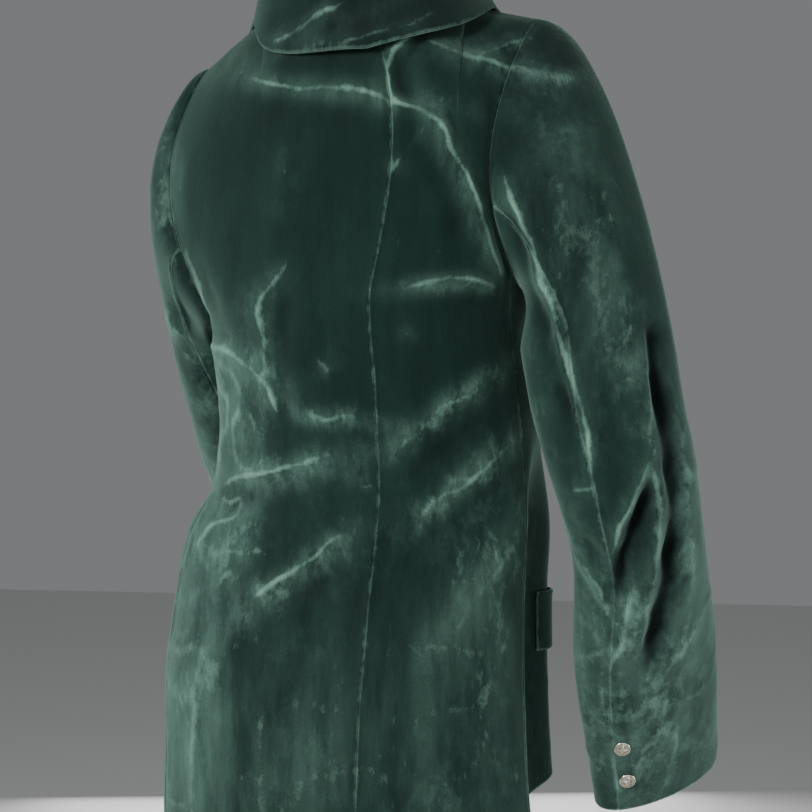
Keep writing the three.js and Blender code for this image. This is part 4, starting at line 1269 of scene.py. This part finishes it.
def button(name, radius, high, spot, normal):
    """A domed metal button with a raised rim and four plain petals."""
    points, faces = [], []
    for r, h in BUTTON_PROFILE:
        inside = float(ease((PETALS["start"] - r) / PETALS["fade"])) * (h > PETALS["above"])
        for k in range(BUTTON_SPOKES):
            turn = 2 * PI * k / BUTTON_SPOKES
            petal = abs(math.sin(2 * turn)) ** PETALS["sharp"]
            lift = h - PETALS["depth"] * inside * petal
            points.append((radius * r * math.cos(turn), radius * r * math.sin(turn), high * lift))
    rings = len(BUTTON_PROFILE)
    under, crown = len(points), len(points) + 1
    points += [(0, 0, 0), (0, 0, high)]
    for k in range(BUTTON_SPOKES):
        nxt = (k + 1) % BUTTON_SPOKES
        for ring in range(rings - 1):
            low, top = ring * BUTTON_SPOKES, (ring + 1) * BUTTON_SPOKES
            faces.append((low + k, low + nxt, top + nxt, top + k))
        last = (rings - 1) * BUTTON_SPOKES
        faces += [(under, nxt, k), (crown, last + k, last + nxt)]
    made = new_object(name, [[c * MM for c in p] for p in points], faces)
    turn = Vector((0, 0, 1)).rotation_difference(Vector(normal)).to_matrix().to_4x4()
    turn.translation = Vector(spot) * MM
    made.data.transform(turn)
    return made


# ---------------------------------------------------------------- assembly
VELVET, BACKING, METAL, THREAD = velvet(), cloth_back(), button_metal(), thread()
CUFF_BUTTON = dict(radius=7.0, high=4.2, place=2.93, rows=(0.926, 0.964))
FRONT_BUTTON = dict(radius=9.0, high=4.6, into=0.94, drop=12)
# A button's gap from the cloth, and the step that the buttonhole's direction is read over.
BUTTON_GAP, HOLE_STEP = 0.5, 0.02


def dress(piece, slot, *nodes, materials):
    for material in materials:
        piece.data.materials.append(material)
    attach(piece, "root")
    if nodes:
        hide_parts(*nodes)


# What each piece was cut to: its width and length in millimetres and its area in square metres.
CUT = {row["node"]: row for row in table("node wide long area", [
    ("back_left", 233, 737, 0.1385),
    ("back_right", 169, 742, 0.0916),
    ("side_left", 97, 448, 0.0345),
    ("side_right", 116, 475, 0.0442),
    ("front_left", 147, 703, 0.078),
    ("front_right", 128, 705, 0.0739),
    ("sleeve_upper_left", 200, 641, 0.1),
    ("sleeve_upper_right", 250, 725, 0.1562),
    ("sleeve_under_left", 115, 523, 0.0411),
    ("sleeve_under_right", 135, 576, 0.0529),
    ("lapel_left", 81, 249, 0.0132),
    ("lapel_right", 84, 263, 0.0141),
    ("hip_flap_left", 95, 53, 0.0049),
    ("hip_flap_right", 98, 52, 0.0049),
    ("collar", 600, 118, 0.0408),
])}


FINE, COARSE, QUICK = 2.1, 4.0, 1.8
GRIDS = dict(side=3.0, front=3.5, lapel=2.6, flap=2.2, collar=2.4)


def panels():
    """Every cloth panel: its surface, rough size and what is laid on it."""
    for name, half in HALF.items():
        flip = half["side"] > 0
        right = name == "right"
        arm = dict(grid=FINE if right else COARSE, creases=ARM_CREASES if right else LEFT_ARM_CREASES,
                   seams="lrb", flip=flip)
        under = PANEL_CREASES["right_under" if right else "sleeve_under"]
        yield f"back_{name}", dict(at=back_panel(half), size=(185, 700), grid=FINE,
                                   creases=BACK_CREASES, seams="lrt", flip=flip)
        yield f"side_{name}", dict(at=side_panel(half), size=(110, 460), grid=GRIDS["side"],
                                   creases=BACK_CREASES, seams="lrt", flip=flip)
        yield f"front_{name}", dict(at=front_panel(half), size=(150, 690), grid=GRIDS["front"],
                                    local=PANEL_CREASES["front"], seams="lt", flip=flip)
        yield f"sleeve_upper_{name}", dict(at=sleeve_panel(name, True), size=(270, 620),
                                           local=PANEL_CREASES["sleeve_upper"], **arm)
        yield f"sleeve_under_{name}", dict(at=sleeve_panel(name, False), size=(150, 560),
                                           local=under, **arm)
        yield f"lapel_{name}", dict(at=lapel_panel(half), size=(80, 280), grid=GRIDS["lapel"],
                                    flip=not flip, quiet=0.5)
        yield f"hip_flap_{name}", dict(at=flap_panel(half), size=(110, 52), grid=GRIDS["flap"],
                                       seams="t", flip=flip, quiet=0.4)
    yield "collar", dict(at=collar_panel(), size=(430, 110), grid=GRIDS["collar"],
                         creases=COLLAR_CREASES, seams="b", quiet=0.6)


def make_cloth():
    for node, row in panels():
        row["grid"] *= 1
        piece = cloth(f"cloth_{node}", **row)
        dress(piece, "velvet", node, materials=(VELVET, BACKING))


def button_row(half):
    """The share of a front's height at which the front button and its buttonhole lie."""
    z = BREAK - FRONT_BUTTON["drop"]
    return RISE * (z - FRONT_HEM) / (half["top"] - FRONT_HEM)


def make_buttons():
    for name, half in HALF.items():
        at = sleeve(name)
        place = np.array(CUFF_BUTTON["place"])
        for k, row in enumerate(CUFF_BUTTON["rows"], start=1):
            row = np.array(row)
            facing = at(place, row) - at(place + PLACE["round"] / 2, row)
            normal = square_to(at, place, row, facing)
            spot = at(place, row) + normal * BUTTON_GAP
            piece = button(f"metal_cuff_button_{k}_{name}", CUFF_BUTTON["radius"],
                           CUFF_BUTTON["high"], spot, normal)
            dress(piece, "buttons", f"cuff_button_{k}_{name}", materials=(METAL,))
    half = HALF["right"]
    at = front_panel(half)
    row = np.array(button_row(half))
    into = np.array(FRONT_BUTTON["into"])
    normal = square_to(at, into, row, FORWARDS)
    piece = button("metal_front_button", FRONT_BUTTON["radius"], FRONT_BUTTON["high"],
                   at(into, row) + normal * BUTTON_GAP, normal)
    dress(piece, "buttons", "front_button", materials=(METAL,))


def make_buttonhole():
    """On the left front, at the height of the button on the right one."""
    half = HALF["left"]
    at = front_panel(half)
    u, v = np.array(BUTTONHOLE["into"]), np.array(button_row(half))
    normal = square_to(at, u, v, FORWARDS)
    along = unit(at(u + HOLE_STEP, v) - at(u - HOLE_STEP, v))
    lift = soft_swell(at(u, v)) + BUTTONHOLE["thick"] * (1 - BUTTONHOLE["sink"])
    piece = stitch_ring("thread_buttonhole", at(u, v) + normal * lift, along,
                        np.cross(normal, along), normal, BUTTONHOLE)
    dress(piece, "velvet", materials=(THREAD,))


# ---------------------------------------------------------------- studio
FLOOR_Z, FLOOR_HALF = -1.38, 6
LAMPS = table("name azimuth elevation reach size power", [
    ("key", 150, 20, 2.4, 0.8, 54),
    ("low", 205, -14, 2.4, 1.5, 14),
    ("rim_right", 270, -6, 2.4, 1.2, 24),
    ("rim_left", 92, -5, 2.4, 1.2, 14),
    ("front", 10, -4, 2.8, 1.6, 36),
])


def make_studio():
    corners = [(x * FLOOR_HALF, y * FLOOR_HALF, FLOOR_Z) for x, y in ((-1, -1), (1, -1), (1, 1), (-1, 1))]
    floor = new_object("floor", corners, [(0, 1, 2, 3)], smooth=False)
    material = node_tree("pale_floor", Base_Color=(0.72, 0.72, 0.71, 1), Roughness=0.9)[0]
    floor.data.materials.append(material)
    world = bpy.data.worlds.new("studio")
    world.use_nodes = True
    sky = world.node_tree.nodes["Background"].inputs
    sky["Color"].default_value = (0.80, 0.82, 0.84, 1)
    sky["Strength"].default_value = 0.24
    bpy.context.scene.world = world
    for lamp in LAMPS:
        data = bpy.data.lights.new(lamp["name"], "AREA")
        data.size, data.energy = lamp["size"], lamp["power"]
        turn_to(link(lamp["name"], data), direction(lamp["azimuth"], lamp["elevation"]) * lamp["reach"])


make_camera()
make_cloth()
make_buttons()
make_buttonhole()
make_studio()
